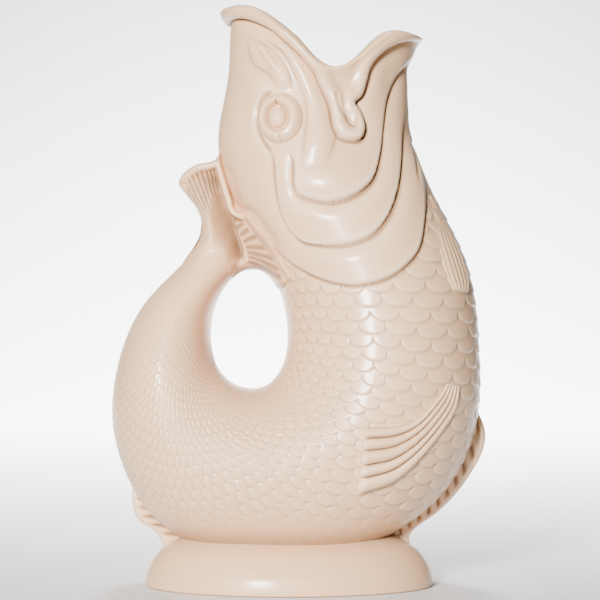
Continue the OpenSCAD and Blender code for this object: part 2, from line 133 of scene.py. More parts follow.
PLATE_EDGE = [
    (266, 143), (272, 152), (274.5, 162), (275.5, 175), (277, 190), (279.5, 204.5), (283.3, 215.8),
    (288.3, 224.5), (294.5, 233.3), (302, 240), (312, 243.5), (324.5, 244.8), (337, 245), (349.5, 243.5),
    (362, 239.5), (372, 234.5), (380, 226.5), (387, 216), (392, 204), (396, 189.5), (398.7, 173),
    (401, 154.5), (402.8, 136), (404.5, 122), (406.5, 110)]
GILL_EDGE = [
    (244, 219), (262, 235), (273, 246.5), (283.5, 255.5), (292, 262.3), (302, 268.6), (312, 274.3),
    (324.5, 279.6), (337, 283.3), (349.5, 285.2), (360, 285.4), (372, 283.4), (387, 278.3),
    (399, 271.3), (409, 262.6), (416, 253.8), (419.8, 245), (422.3, 233), (424, 217), (424.3, 204.5),
    (423.7, 192), (421.8, 178), (419, 165), (414.6, 146.7), (411, 125), (408, 113)]
FOLD_LINE = [(412.8, 144), (414.8, 158), (415.3, 172), (416, 189)]
SOCKET_LINE = [
    (275, 90), (265.5, 96), (259.2, 105), (256.3, 117), (257.5, 129), (261.5, 139), (266, 146), (270, 151),
    (273.3, 158)]
RIDGE_LEFT = [
    (262, 33), (268, 41), (277, 47.5), (284.5, 55), (292, 69.5), (299.5, 87), (304.5, 99.5), (307, 118),
    (305, 137), (303.5, 152), (303.5, 168)]
RIDGE_RIGHT = [
    (276, 32), (284.5, 40), (295, 50), (304.5, 59.5), (313, 70.5), (321, 85), (327.5, 98.5), (332, 112),
    (335, 126), (336, 134), (334, 143), (330, 155), (321.5, 173)]
FLAP_LEFT = [(246, 37.4), (249, 50), (252.5, 62), (262, 69.5), (271, 76), (275.5, 87)]
FLAP_RIGHT = [(259, 40.5), (267, 45.8), (274, 51.5), (280.5, 58.8), (287, 68.3), (290.8, 79.5), (291.5, 89)]
FLAP_CREST = [(258.5, 43), (264.5, 51), (271.5, 61), (278.5, 72.5)]
EYE_SPOT = (280.7, 118.5)
PUPIL_SPOT = (277.8, 117.5)
BROW_SPOT = (260, 89)
CHEEK_SPOT = (335, 182)
JAW_HOLLOW = (392, 84)

# Fan of the tail: its free back edge, its rim over the top, the band where the rim's bead runs on
# down the neck, the sheet's outline there, the handle's arch, the line inside the tail that the
# sheet springs from, the edge of the tail on it and the tail's end
FAN_BACK = [
    (183, 275), (181.8, 266), (185.4, 258.4), (190.6, 252.2), (195.7, 245), (199.6, 237), (201.3, 228),
    (200.8, 219.6), (195.9, 207.8), (190.5, 200.5), (184.5, 193), (179, 185.6)]
FAN_TOP = [
    (179, 185.6), (178.6, 182), (181, 176.5), (185, 171.6), (192, 166.6), (199.7, 163.6), (206.2, 162.4),
    (211.6, 161.3), (215, 159.7), (217.3, 156.8), (218.5, 153), (219.2, 147.5)]
FAN_BAND = FAN_TOP + [
    (220.3, 151), (221, 158), (222.4, 165), (224.4, 172), (229.2, 189), (232, 198), (234.3, 206),
    (238, 210.6), (244, 213.2), (250, 217), (258, 227), (266, 235.5), (271.5, 241.5), (278, 253),
    (283, 262), (289, 271.5), (295.7, 283)]
FAN_RIM = FAN_TOP + [
    (221, 151), (223, 158), (226.5, 168), (231.5, 180), (237, 191), (243, 201), (249.5, 209), (256.5, 217),
    (263, 225.5), (269, 233), (275, 242.5), (280.5, 253), (285, 262), (290, 271.5), (295.7, 283)]
FAN_ARCH = [
    (220, 284), (227, 280.5), (232.5, 278.4), (236.5, 275.4), (240.9, 272.4), (246, 270.3), (251.7, 269.6),
    (257.5, 270), (262.6, 271.8), (267.5, 275.2), (271.3, 279.4), (275, 285.5), (280, 290), (287, 289.5),
    (295.7, 283)]
FAN_HUB = [(183, 275), (194, 278.5), (207, 282.5), (220, 284)]
FAN_VALLEY = [
    (212, 180), (215, 205), (219, 222), (226, 240), (230, 250), (229, 258), (224, 266), (216, 274),
    (207, 283)]
# Right of this pixel column the band runs down the neck, and only its left side is the fan's
NECK_SIDE_X = 214
WRIST_LINE = [(176, 260.3), (200, 262.3), (225, 264.3), (250, 266.5)]
# Half thickness of the fan in millimetres at spots of its hollow and of its lower lobe
FAN_HEIGHTS = [
    (190, 172, 7.5), (200, 170, 8), (210, 168, 8.5), (186, 180, 6.5), (196, 180, 7), (206, 179, 6.5),
    (214, 180, 5), (219, 180, 3.5), (188, 191, 7.5), (196, 191, 8), (206, 190, 7), (214, 190, 4.5),
    (220, 190, 2.5), (197, 205, 10), (205, 205, 9), (212, 205, 7), (219, 205, 4), (226, 205, 2.5),
    (203, 220, 13), (210, 220, 12), (216, 220, 8.5), (222, 220, 5), (230, 220, 2.5), (204, 235, 15.5),
    (212, 235, 15.5), (220, 235, 11.5), (227, 235, 6.5), (235, 235, 2.8), (205, 250, 16),
    (216, 250, 16), (226, 250, 13.5), (233, 250, 8.5), (239, 250, 4), (226, 265, 15), (234, 264, 11),
    (240, 264, 8), (230, 276, 12), (238, 271, 9.5)]
LOBE_HEIGHTS = [
    (235, 222, 8.5), (243, 222, 11), (238, 235, 8), (247, 235, 11), (257, 235, 15), (242, 250, 8),
    (252, 250, 11), (262, 250, 15), (272, 250, 20), (243, 262, 8.5), (255, 262, 12), (266, 262, 16),
    (278, 264, 21), (245, 271, 8), (257, 271, 10.5), (266, 275, 13.5), (274, 281, 17), (284, 282, 22)]
# Edge between the hollow and the lower lobe, the bead's half thickness at shares of the band's
# length, the pleats' hub, their turns about it in degrees, and the grooves of the lobe
PIT_EDGE = [
    (219.5, 181), (222.2, 189), (225.3, 197), (228.4, 207.3), (231.4, 217.6), (233.2, 224), (235, 229),
    (237.6, 238), (240.4, 246), (241.6, 252), (241.2, 258), (239.5, 263), (237, 268)]
FAN_RIM_PLACES = [0, 0.05, 0.12, 0.20, 0.28, 0.36, 0.5, 0.58, 1]
FAN_RIM_HEIGHTS = [4.5, 7, 9, 10, 11, 12, 12, 12.5, 12.5]
PLEAT_HUB = (241, 289)
PLEATS = [10.9, 12.7, 14.4, 16.2, 18.5, 20.9, 23.2, 25.6, 27.5, 29.0, 30.5]
LOBE_GROOVES = [
    [(237.6, 230), (239.5, 226), (243.5, 223)], [(240.5, 236.5), (244, 233.2), (249.5, 230)],
    [(243, 243), (249, 240), (258, 236)], [(244.5, 248), (256, 248), (269, 249)],
    [(245.5, 252.5), (258, 255), (275, 260.5)], [(246, 257), (260, 261), (280, 271.5)],
    [(246, 262), (258, 265), (270, 271), (282, 279)]]

# Eye: share of its radius and height in millimetres, from the pupil out over the ring
EYE_PROFILE = [
    (0.0, 2.9), (0.15, 2.8), (0.26, 2.3), (0.33, 1.4), (0.37, -0.1), (0.40, 0.1), (0.45, 1.6), (0.52, 2.9),
    (0.60, 3.4), (0.70, 3.3), (0.80, 2.8), (0.90, 1.7), (0.97, 0.4), (1.0, -0.5)]
PUPIL_SHARE = 0.36
PUPIL_RADII = (8.6, 11.0)
EYE_RADII = (22.8, 26.5)
NOTCH_X = 277.3
SEAM_SPOT = (281.5, 135)

# Side fin: its two edges from the root to the free end, and the grooves between its rays
SIDE_FIN_TOP = [
    (446, 384), (440, 394), (433, 402), (421, 415), (409, 422.6), (397, 426), (385, 427), (372.7, 427),
    (364, 427.5)]
SIDE_FIN_FOOT = [
    (458.5, 386), (456.6, 404), (450.3, 418.8), (439.4, 434.5), (427.3, 449), (415, 462.4), (403, 473.3),
    (391, 481.8), (378.8, 486.7), (368, 490), (355, 494)]
SIDE_FIN_GROOVES = [0, 0.17, 0.36, 0.58, 0.765, 1]

# Fin beside the throat: its two edges from the root to the tip, and its grooves
BREAST_FIN_BACK = [
    (428, 196), (431, 208), (433.5, 222), (436, 240), (440, 258), (445, 276), (452, 291)]
BREAST_FIN_FRONT = [
    (430, 196), (437, 208), (445, 222), (452, 237), (458.5, 253), (463, 268), (465.8, 282), (464, 294)]
BREAST_FIN_GROOVES = [0, 0.16, 0.36, 0.55, 0.72, 0.87, 1]

# Keel fins: the outer edge and the line where they leave the body, from the top down; their folds'
# slant in degrees, first stroke and spacing in pixels; and their half thickness in millimetres
FRONT_KEEL_EDGE = [
    (476.2, 400), (477.6, 409), (481.2, 418.8), (485.5, 434), (482, 452.7), (474.5, 467.3), (466, 480.6),
    (455, 495), (441.8, 508.5), (431, 517), (418, 526), (411, 533), (409.3, 540), (413, 549)]
FRONT_KEEL_BASE = [
    (472, 400), (471, 409), (470, 419), (466, 434), (460, 451), (452, 466), (443, 479), (432, 493),
    (420, 505), (407, 515), (392, 524), (377, 533), (367, 540), (363, 549)]
FRONT_KEEL_FOLDS = (12, 367.6, 10.9)
FRONT_KEEL_THICK = 4.8
REAR_KEEL_EDGE = [
    (136, 474), (134, 482), (132.2, 491), (132.2, 500), (133.6, 509), (136.5, 517), (143, 523.5),
    (151.5, 528.5), (158.5, 536), (161.8, 543), (164, 549)]
REAR_KEEL_BASE = [
    (143, 474), (146, 482), (150, 491), (155, 500), (160, 509), (166, 517), (172, 524), (178, 530),
    (186, 537), (190, 543), (192, 549)]
REAR_KEEL_FOLDS = (90, -498.7, 8.8)
REAR_KEEL_THICK = 4.4

# Foot: height and how far it is drawn in from its widest line, in millimetres, from the hollow
# beneath, up the outside and in over the top; and the recess mark at some of those heights
FOOT_UNDER = [
    (14.0, 40), (14.0, 18), (13.4, 16), (10, 13.5), (5, 9), (1.2, 7.6), (0.3, 7), (0, 6.3), (0, 3.5)]
FOOT_PROFILE = [
    (0.0, 0.9), (0.25, 0.35), (0.9, 0.0), (2.5, 0.0), (4.2, 0.25), (6.0, 0.6), (7.6, 1.1), (9.3, 1.9),
    (11.0, 2.8), (12.8, 4.0), (14.4, 5.3), (15.8, 6.7), (17.0, 8.2), (18.0, 9.9), (19.0, 11.6),
    (20.2, 13.2), (21.3, 14.9), (22.0, 17.0)]
FOOT_OVER = [(22.3, 19.5), (22.4, 24), (22.4, 40)]
# Recess marks of the foot: painted shadow as a dark line along the bottom edge, and painted shade in the
# crease under the bowl and on the hollow beneath
FOOT_SHADE_HEIGHTS = [0.2, 0.8, 18.0, 21.5]
FOOT_SHADE_MARKS = [1, 0, 0, 0.6]
FOOT_UNDER_SHADE = 0.6
FOOT_MIDDLE_SHARE = -0.030

# Recess mark on the skin just over the foot: painted shade where the bowl meets the foot, along
# with glaze that pools there; and heights in millimetres between which it fades
POOL_AND_SHADE_MARK = 0.75
POOL_AND_SHADE_FADE = (20, 31)

# Stations where the tube is cut into pieces, rows of points along the outside of a piece of each
# kind and along its inside, and points round the tube
HEAD_CUT = 3.2
BELLY_CUTS = [9.3, 12.2, 14.0]
TAIL_CUT = 18.2
HEAD_ROWS = 102
BELLY_ROWS = 128
TAIL_ROWS = 100
INNER_ROWS = 13
TURNS = 600

# How deep a laid-on piece is sunk in the skin, how far the skin reaches into the foot, and the
# least half thickness of a sheet, in millimetres
SUNK = 1.4
FOOT_LAP = 1.5
THINNEST = 0.02

# Where a line is too far off to be measured, in pixels
FAR_OFF = 1e3
MIRROR = np.array([1, -1, 1])

# Studio lights: name, place, target, width and height, spread in degrees and power in watts
LIGHTS = [
    ("key", (-0.52, -1.65, 0.64), (0.0, 0.0, 0.14), (0.42, 0.42), 26, 3.2),
    ("left side", (-1.8, -0.4, 0.6), (0.0, 0.0, 0.12), (0.9, 0.9), 60, 0.1),
    ("backdrop", (0.0, 1.3, 2.6), (0.0, 1.40, 0.0), (0.5, 0.5), 62, 95)]
WORLD_STRENGTH = 0.035

FINE = 1.0


def bend_of(table):
    """Second derivatives of the smooth curve through the rows of a table.

    They solve the usual three-term system of a natural cubic spline: each bend and its two
    neighbours, weighed 4, 1 and 1, equal six times the rows' second difference; the ends are 0.
    """
    table = np.asarray(table, float)
    count = len(table)
    system = 4 * np.eye(count) + np.eye(count, k=1) + np.eye(count, k=-1)
    system[0] = np.eye(count)[0]
    system[-1] = np.eye(count)[-1]
    pull = np.zeros_like(table)
    pull[1:-1] = 6 * (table[2:] - 2 * table[1:-1] + table[:-2])
    return np.linalg.solve(system, pull)


def along(table, bend, t):
    """A smooth curve through the rows of a table, where t counts the rows.

    Between two rows it is their straight mix, plus a sixth of each row's bend times the cube of
    its share less that share, so that the slope and the curving run on through every row.
    """
    table = np.asarray(table, float)
    t = np.asarray(t, float)
    i = np.clip(np.floor(t).astype(int), 0, len(table) - 2)
    u = t - i
    if table.ndim > 1:
        u = u[..., None]
    v = 1 - u
    straight = v * table[i] + u * table[i + 1]
    return straight + ((v ** 3 - v) * bend[i] + (u ** 3 - u) * bend[i + 1]) / 6


STATION_BEND = bend_of(STATION_SHARES)
MOUTH_BEND = bend_of(MOUTH_SHARES)
FADE_BEND = bend_of(MOUTH_FADE)


def smooth_line(points, per_step=5):
    """A given line made smooth: the curve through its points, read at even steps."""
    points = np.asarray(points, float)
    t = np.linspace(0, len(points) - 1, (len(points) - 1) * per_step + 1)
    return along(points, bend_of(points), t)


def ramp(value, low, high):
    """0 at low and 1 at high, with level ends: three times the square less twice the cube."""
    share = np.clip((value - low) / (high - low), 0, 1)
    return share * share * (3 - 2 * share)


def window(value, start, full, fading, end):
    """0 before the start, 1 from full to fading, and 0 past the end: a ramp up times a ramp down."""
    return ramp(value, start, full) * (1 - ramp(value, fading, end))


def hump(turn):
    """1 at no turn and 0 at half a turn: half of one plus the cosine."""
    return 0.5 + 0.5 * np.cos(turn)


def ring_of(count):
    """Evenly spaced angles of a full turn."""
    return np.arange(count) / count * 2 * np.pi


def folded(a):
    """Angles brought to between 0 at the front edge and pi at the back edge, on either side."""
    return np.abs((a + np.pi) % (2 * np.pi) - np.pi)


def quarter_round(distance, radius):
    """0 at a line and 1 from one radius inside it, along a quarter of a circle."""
    share = np.clip(distance / radius, 0, 1)
    return np.sqrt(1 - (1 - share) ** 2)


def bell(distance, width):
    """1 at 0, falling to nothing by about twice the width: e to minus the square of their ratio."""
    return np.exp(-(distance / width) ** 2)


def beside(line, x, y, reach=60.0):
    """Distance in pixels from each point to a line, above 0 on its upper side as it runs right.

    For each straight piece of the line the nearest spot is the point's shadow on it, kept between
    its ends. The least of those distances wins and takes its side from the cross product. The
    second result is the share of the line's length at that spot.
    """
    line = smooth_line(line)
    steps = np.diff(line, axis=0)
    lengths = np.hypot(steps[:, 0], steps[:, 1])
    passed = np.concatenate([[0], np.cumsum(lengths)])
    low = line.min(axis=0) - reach
    high = line.max(axis=0) + reach
    near = (x > low[0]) & (x < high[0]) & (y > low[1]) & (y < high[1])
    px = x[near]
    py = y[near]
    best = np.full(px.shape, 1e9)
    side = np.full(px.shape, -1.0)
    share = np.zeros(px.shape)
    for (ax, ay), (dx, dy), length, start in zip(line[:-1], steps, lengths, passed):
        u = np.clip(((px - ax) * dx + (py - ay) * dy) / length ** 2, 0, 1)
        gap = np.hypot(px - ax - u * dx, py - ay - u * dy)
        closer = gap < best
        best = np.where(closer, gap, best)
        cross = dx * (py - ay) - dy * (px - ax)
        side = np.where(closer, np.where(cross <= 0, 1.0, -1.0), side)
        share = np.where(closer, (start + u * length) / passed[-1], share)
    distance = np.full(x.shape, -FAR_OFF)
    progress = np.zeros(x.shape)
    distance[near] = best * side
    progress[near] = share
    return distance, progress


def sizes():
    """The driving sizes that the panel shows."""
    return bpy.context.scene.jug_sizes


def station(t):
    """Middle, half chord and half depth of the oval at each station, from its two edges."""
    size = sizes()
    row = along(STATION_SHARES, STATION_BEND, t)
    back = np.stack([row[..., 0] * size.length - size.middle, row[..., 1] * size.height], -1)
    front = np.stack([row[..., 2] * size.length - size.middle, row[..., 3] * size.height], -1)
    return (back + front) / 2, (front - back) / 2, row[..., 4] * size.depth


def mouth_rise(t, a):
    """Rise of the skin above its chord: the mouth's wave at the angle's share, faded by station.

    The share is half of one plus the cosine of the angle, in steps of the wave's table.
    """
    fade = np.where(t < MOUTH_END_STATION, along(MOUTH_FADE, FADE_BEND, t), 0)
    share = (1 + np.cos(a)) / 2 * (len(MOUTH_SHARES) - 1)
    return sizes().height * np.maximum(fade, 0) * along(MOUTH_SHARES, MOUTH_BEND, share)


def tube(t, a, lift=0.0):
    """Points of the bare tube at station t and angle a, 0 at its front edge and pi at its back.

    A station is an oval: its middle, plus the half chord times the cosine of the angle, plus the
    half depth times the sine across. Lift moves the point out along the oval's own normal.
    """
    t, a = np.broadcast_arrays(np.asarray(t, float), np.asarray(a, float))
    middle, half, depth = station(t)
    reach = np.hypot(half[..., 0], half[..., 1])
    way = half / reach[..., None]
    slope_x = np.cos(a) / reach
    slope_y = np.sin(a) / depth
    steep = np.hypot(slope_x, slope_y)
    flat = middle + way * (reach * np.cos(a) + lift * slope_x / steep)[..., None]
    across = depth * np.sin(a) + lift * slope_y / steep
    return np.stack([flat[..., 0], across, flat[..., 1] + mouth_rise(t, a)], -1)


def unit(vectors):
    """Vectors made one long."""
    return vectors / np.maximum(np.linalg.norm(vectors, axis=-1, keepdims=True), 1e-12)


def outward(t, a, small=0.01):
    """Outward normals of the bare tube: the cross product of its slopes along and round."""
    down = tube(t + small, a) - tube(t - small, a)
    round_it = tube(t, a + small) - tube(t, a - small)
    return unit(np.cross(down, round_it))


def seen(points):
    """Pixel of the photograph where a point shows; the far side is mirrored to the near side.

    A pinhole: sizes grow by the camera's distance over the distance left to the point.
    """
    grow = CAMERA_DISTANCE / (CAMERA_DISTANCE - np.abs(points[..., 1]))
    x = PHOTO_MIDDLE + (points[..., 0] - CAMERA_X) / PIXEL * grow
    y = PHOTO_MIDDLE - (points[..., 2] - CAMERA_Z) / PIXEL * grow
    return x, y


def behind(px, py, depth=0.0):
    """x and z in metres of what shows at pixels of the photograph, at a depth off the middle plane.

    The pinhole undone: sizes shrink by the distance left to the point over the camera's distance.
    """
    shrink = (CAMERA_DISTANCE - depth) / CAMERA_DISTANCE
    x = CAMERA_X + (px - PHOTO_MIDDLE) * PIXEL * shrink
    z = CAMERA_Z - (py - PHOTO_MIDDLE) * PIXEL * shrink
    return x, z


def station_under(x, z, low, high):
    """Station whose chord passes through each spot of the middle plane, and the angle there.

    The range of stations is halved again and again, on the side where the cross product of the
    chord and the way to the spot says that the spot lies.
    """
    low = np.full(x.shape, low)
    high = np.full(x.shape, high)
    spot = np.stack([x, z], -1)
    for _ in range(22):
        t = (low + high) / 2
        middle, half, _ = station(t)
        reach = np.hypot(half[..., 0], half[..., 1])
        share = np.clip(((spot - middle) * half).sum(-1) / reach ** 2, -0.9995, 0.9995)
        a = np.arccos(share)
        level = z - mouth_rise(t, a)
        cross = half[..., 0] * (level - middle[..., 1]) - half[..., 1] * (x - middle[..., 0])
        low = np.where(cross < 0, t, low)
        high = np.where(cross < 0, high, t)
    return t, a


def on_side(px, py, lift=0.0, span=(0.0, TAIL_STATION)):
    """Points of the jug's left side that show at pixels of the mirrored photograph, lifted out.

    The depth is guessed, the pinhole undone for it, the skin found there, and its depth taken in
    turn; a few rounds settle it.
    """
    px, py = np.broadcast_arrays(np.asarray(px, float), np.asarray(py, float))
    depth = np.full(px.shape, 0.04)
    for _ in range(5):
        t, a = station_under(*behind(px, py, depth), *span)
        depth = np.abs(tube(t, a)[..., 1])
    normal = outward(t, a)
    return tube(t, a) + normal * np.asarray(lift)[..., None]


def joined(rings, looped, poles):
    """Points and faces of rings of points: squares between neighbours, and a fan at each pole."""
    rows, count = rings.shape[:2]
    points = rings.reshape(-1, 3)
    index = np.arange(rows * count).reshape(rows, count)
    low = index if looped else index[:-1]
    high = np.roll(index, -1, axis=0) if looped else index[1:]
    squares = np.stack([low, np.roll(low, -1, axis=1), np.roll(high, -1, axis=1), high], -1)
    faces = squares.reshape(-1, 4).tolist()
    if poles:
        ends = np.stack([rings[0].mean(axis=0), rings[-1].mean(axis=0)])
        points = np.concatenate([points, ends])
        first = np.stack([np.roll(index[0], -1), index[0], np.full(count, rows * count)], -1)
        last = np.stack([index[-1], np.roll(index[-1], -1), np.full(count, rows * count + 1)], -1)
        faces += first.tolist() + last.tolist()
    return points, faces


def two_layers(outer, inner):
    """Points and faces of a closed sheet: two like grids, joined round their border."""
    rows, count = outer.shape[:2]
    rings = np.concatenate([outer, inner[:, ::-1]], axis=1)
    points, faces = joined(rings, False, False)
    index = np.arange(rows * 2 * count).reshape(rows, 2 * count)
    near = index[:, :count]
    far = index[:, :count - 1:-1]
    start = np.stack([near[0, 1:], near[0, :-1], far[0, :-1], far[0, 1:]], -1)
    end = np.stack([near[-1, :-1], near[-1, 1:], far[-1, 1:], far[-1, :-1]], -1)
    return points, faces + start.tolist() + end.tolist()


def volume_of(points, faces):
    """Signed volume: a sixth of the sum of each triangle's corners' triple product."""
    total = 0.0
    squares = np.array([f for f in faces if len(f) == 4], int).reshape(-1, 4)
    threes = np.array([f for f in faces if len(f) == 3], int).reshape(-1, 3)
    for corners in (squares[:, [0, 1, 2]], squares[:, [0, 2, 3]], threes):
        a, b, c = points[corners[:, 0]], points[corners[:, 1]], points[corners[:, 2]]
        total += (a * np.cross(b, c)).sum() / 6
    return total


def add_piece(name, nodes, points, faces, marks, normals=None, slot="cream_glaze"):
    """A smooth closed mesh in the jug's frame, which rides on its body and replaces CAD nodes.

    Marks are values for the first points, by attribute name. Normals are indices of points and
    the normals given to them.
    """
    if volume_of(points, faces) < 0:
        faces = [face[::-1] for face in faces]
    mesh = bpy.data.meshes.new(name)
    mesh.from_pydata(points.tolist(), [], faces)
    mesh.polygons.foreach_set("use_smooth", np.ones(len(mesh.polygons), bool))
    for mark in ("recess", "ridge"):
        given = marks.get(mark, [])
        values = np.zeros(len(points), np.float32)
        values[:len(given)] = given
        layer = mesh.attributes.new(mark, "FLOAT", "POINT")
        layer.data.foreach_set("value", values)
    mesh.update()
    if normals is not None:
        own = np.zeros(len(points) * 3, np.float32)
        mesh.vertex_normals.foreach_get("vector", own)
        own = own.reshape(-1, 3)
        chosen, given = normals
        own[chosen] = given
        mesh.normals_split_custom_set_from_vertices(own.tolist())
    mesh.materials.append(cream())
    piece = bpy.data.objects.new(name, mesh)
    bpy.context.scene.collection.objects.link(piece)
    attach(piece, "root")
    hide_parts(*nodes)


def blurred(values, width):
    """The mean over a square of the grid, open along its rows and closed round its columns."""
    reach = max(int(width), 1)
    spread = np.pad(values, ((reach, reach), (0, 0)), mode="edge")
    rows = sum(spread[k:k + len(values)] for k in range(2 * reach + 1)) / (2 * reach + 1)
    return sum(np.roll(rows, k, axis=1) for k in range(-reach, reach + 1)) / (2 * reach + 1)


def marks_of(height, width, gain):
    """Recess and ridge marks: how far the relief lies below and above its own blurred height.
    The recess mark is painted shade in hollows, along with glaze that pools; the ridge mark is thin glaze.
    """
    rise = (height - blurred(height, width)) / gain
    return np.clip(-rise, 0, 1), np.clip(rise, 0, 1)


def plate_step(gap, depth, roll, reach):
    """Edge of a plate over the next one: rolled over inside its line, sunk outside it.

    Inside, a quarter of a circle falls by a share of the depth; outside, the full depth rises
    back to nothing as a square over the reach.
    """
    inside = -0.45 * depth * (1 - quarter_round(gap, roll))
    outside = -depth * np.clip(1 + gap / reach, 0, 1) ** 2
    return np.where(gap >= 0, inside, outside)


def leaf(left, right, x, y, crown):
    """A raised leaf between two lines that run down it: a power of the sine of the share across."""
    from_left, _ = beside(left, x, y)
    from_right, _ = beside(right, x, y)
    inside = (from_left > 0) & (from_right < 0) & (from_right > -FAR_OFF)
    share = np.where(inside, from_left / np.maximum(from_left - from_right, 1e-6), 0)
    return np.sin(np.pi * np.clip(share, 0, 1)) ** crown


def mound(x, y, spot, width, height):
    """A soft round rise: the bell of the distance from a spot, on an upright oval."""
    return np.exp(-((x - spot[0]) / width) ** 2 - ((y - spot[1]) / height) ** 2)


def head_relief(a, x, y):
    """Heights in millimetres over the head: gill plates, lip, cheek ridge, flap, brow and socket.

    Each is a step, a quarter round, a leaf, a bell or a mound beside its own line of the
    photograph, within a window of that line's length. Widths are in pixels.
    """
    side_on = 1 - np.where(np.cos(a) > 0, 0.93, 0.35) * np.abs(np.cos(a)) ** 6
    gill, _ = beside(GILL_EDGE, x, y)
    level = 2.2 * quarter_round(gill, 5.0) * ramp(y, 110, 190) * ramp(x, 262, 296)
    height = np.where(gill > 0, level, 0)
    plate, along_plate = beside(PLATE_EDGE, x, y)
    height += plate_step(plate, 2.5, 5.0, 19) * window(along_plate, 0, 0.16, 0.9, 1)
    cheek, along_cheek = beside(CHEEK_EDGE, x, y)
    height += plate_step(cheek, 2.6, 5.0, 18) * window(along_cheek, 0, 0.12, 0.93, 1)
    height += 1.3 * mound(x, y, CHEEK_SPOT, 34, 15) * (cheek > 0)
    fold, along_fold = beside(FOLD_LINE, x, y, reach=20)
    height -= 0.9 * bell(fold, 1.8) * (1 - ramp(along_fold, 0.45, 1))
    lip, _ = beside(LIP_LINE, x, y)
    rolled = 3.0 * quarter_round(lip, 5.5) - 1.8 * ramp(lip, 6, 17)
    height += rolled * side_on * (lip > 0)
    outside = np.minimum(lip, 0)
    undercut = 0.5 * bell(outside, 4.0) + bell(outside, 9.0)
    height -= 0.85 * undercut * (lip > -30) * (lip <= 0) * side_on
    height -= 1.1 * mound(x, y, JAW_HOLLOW, 12, 26) * (lip < 0)
    lobe, _ = beside(LOBE_LINE, x, y)
    height -= 0.6 * bell(lobe, 2.0) * (lip > 0)
    ridge = leaf(RIDGE_LEFT, RIDGE_RIGHT, x, y, 0.75) * window(y, 32, 48, 142, 170)
    height += 1.9 * ridge * (lip < 0)
    flap = leaf(FLAP_LEFT, FLAP_RIGHT, x, y, 0.7) * window(y, 37, 50, 78, 92)
    crest, along_crest = beside(FLAP_CREST, x, y, reach=20)
    flap += 0.5 * bell(crest, 2.2) * window(along_crest, 0, 0.2, 0.75, 1)
    height += 1.7 * flap * (lip < 0)
    height += 1.5 * mound(x, y, BROW_SPOT, 13, 14) * (1 - np.clip(flap, 0, 1))
    socket, along_socket = beside(SOCKET_LINE, x, y)
    height -= 1.0 * bell(socket, 2.6) * window(along_socket, 0, 0.12, 0.8, 1)
    return height


def running_sum(rate, at):
    """Area under a line of values so far: the sum of mean heights times steps."""
    return np.concatenate([[0], np.cumsum((rate[1:] + rate[:-1]) / 2 * np.diff(at))])


def lattice(t, a):
    """Row and column counts of the scales at station t and angle a.

    Rows are a running sum of how many stand on a station. Columns are a running sum of one over a
    scale's width round the tube, as a share of half a turn, times the scales in a ring.
    """
    fine_t = np.linspace(ROW_STATIONS[0] - 1, ROW_STATIONS[-1] + 1, 600)
    passed = running_sum(np.interp(fine_t, ROW_STATIONS, ROWS_PER_STATION), fine_t)
    fine_a = np.linspace(0, np.pi, 400)
    turned = running_sum(1 / np.interp(np.degrees(fine_a), WIDTH_ANGLES, WIDTH_SHARES), fine_a)
    turned = (turned - np.interp(np.pi / 2, fine_a, turned)) / turned[-1]
    count = np.interp(t, COLUMN_STATIONS, COLUMN_COUNTS)
    return np.interp(t, fine_t, passed), count * np.interp(folded(a), fine_a, turned)


def scales(t, a):
    """Height of the overlapping scales, as a share of a scale's rise.

    A scale's free edge is an arc that points down the tube. A point lies on the scale of its own
    row where that row's arc is still ahead of it, else on the next row's, half a scale over. The
    height falls from the arc back up the scale, and rolls over close to the arc itself.
    """
    rows, columns = lattice(t, a)
    row = np.floor(rows)

    def arc(number):
        offset = 0.5 * np.mod(number, 2)
        across = columns - offset
        middle = np.round(across)
        wobble = 0.07 * np.sin(12.9 * number + 4.7 * middle) + 0.05 * np.sin(3.1 * number - 8.3 * middle)
        from_middle = across - middle
        bow = np.clip(1 - np.abs(2 * from_middle) ** 2.7, 0, 1) ** 0.45
        return number + 0.12 + 0.88 * bow + wobble, from_middle

    own_edge, own_across = arc(row)
    next_edge, next_across = arc(row + 1)
    on_own = own_edge > rows
    ahead = np.where(on_own, own_edge, next_edge) - rows
    across = np.where(on_own, own_across, next_across)
    rise = 1 - ahead / 1.75
    roll = quarter_round(ahead, 0.17)
    cup = 1 - 0.42 * (2 * across) ** 2
    return rise * cup * (0.25 + 0.75 * roll)


def scale_share(t, a, x, y):
    """Where scales show and how strongly: none on the head, faint by the handle, foot and wrist."""
    angle = np.degrees(folded(a))
    gill, _ = beside(GILL_EDGE, x, y)
    below_head = np.where(t < 9, ramp(-gill, -1, 5), 1)
    share = below_head * ramp(t, 5.2, 6.0)
    share *= 1 - ramp(angle, 150, 172) * (1 - ramp(t, 13.5, 15.5))
    share *= 1 - 0.85 * mound(x, y, HANDLE_SPOT, 46, 20)
    share *= 1 - 0.75 * ramp(y, 505, 532)
    share *= 1 - 0.9 * ramp(t, 17.2, 19.4) * (1 - 0.3 * ramp(angle, 60, 20))
    share *= 1 - ramp(angle, 120, 160) * ramp(t, 15.5, 17)
    return np.clip(share, 0, 1)


def groove_by_fan(a, x, y):
    """Heights in millimetres of the bell-shaped hollow along the fan's band, behind the neck."""
    band, along_band = beside(FAN_BAND, x, y, reach=30)
    behind_neck = ramp(np.degrees(folded(a)), 95, 108)
    depth = 0.8 * bell(band - 4.5, 4.5) * (band > -12) * behind_neck
    return -depth * window(along_band, 0.33, 0.40, 0.72, 0.9)


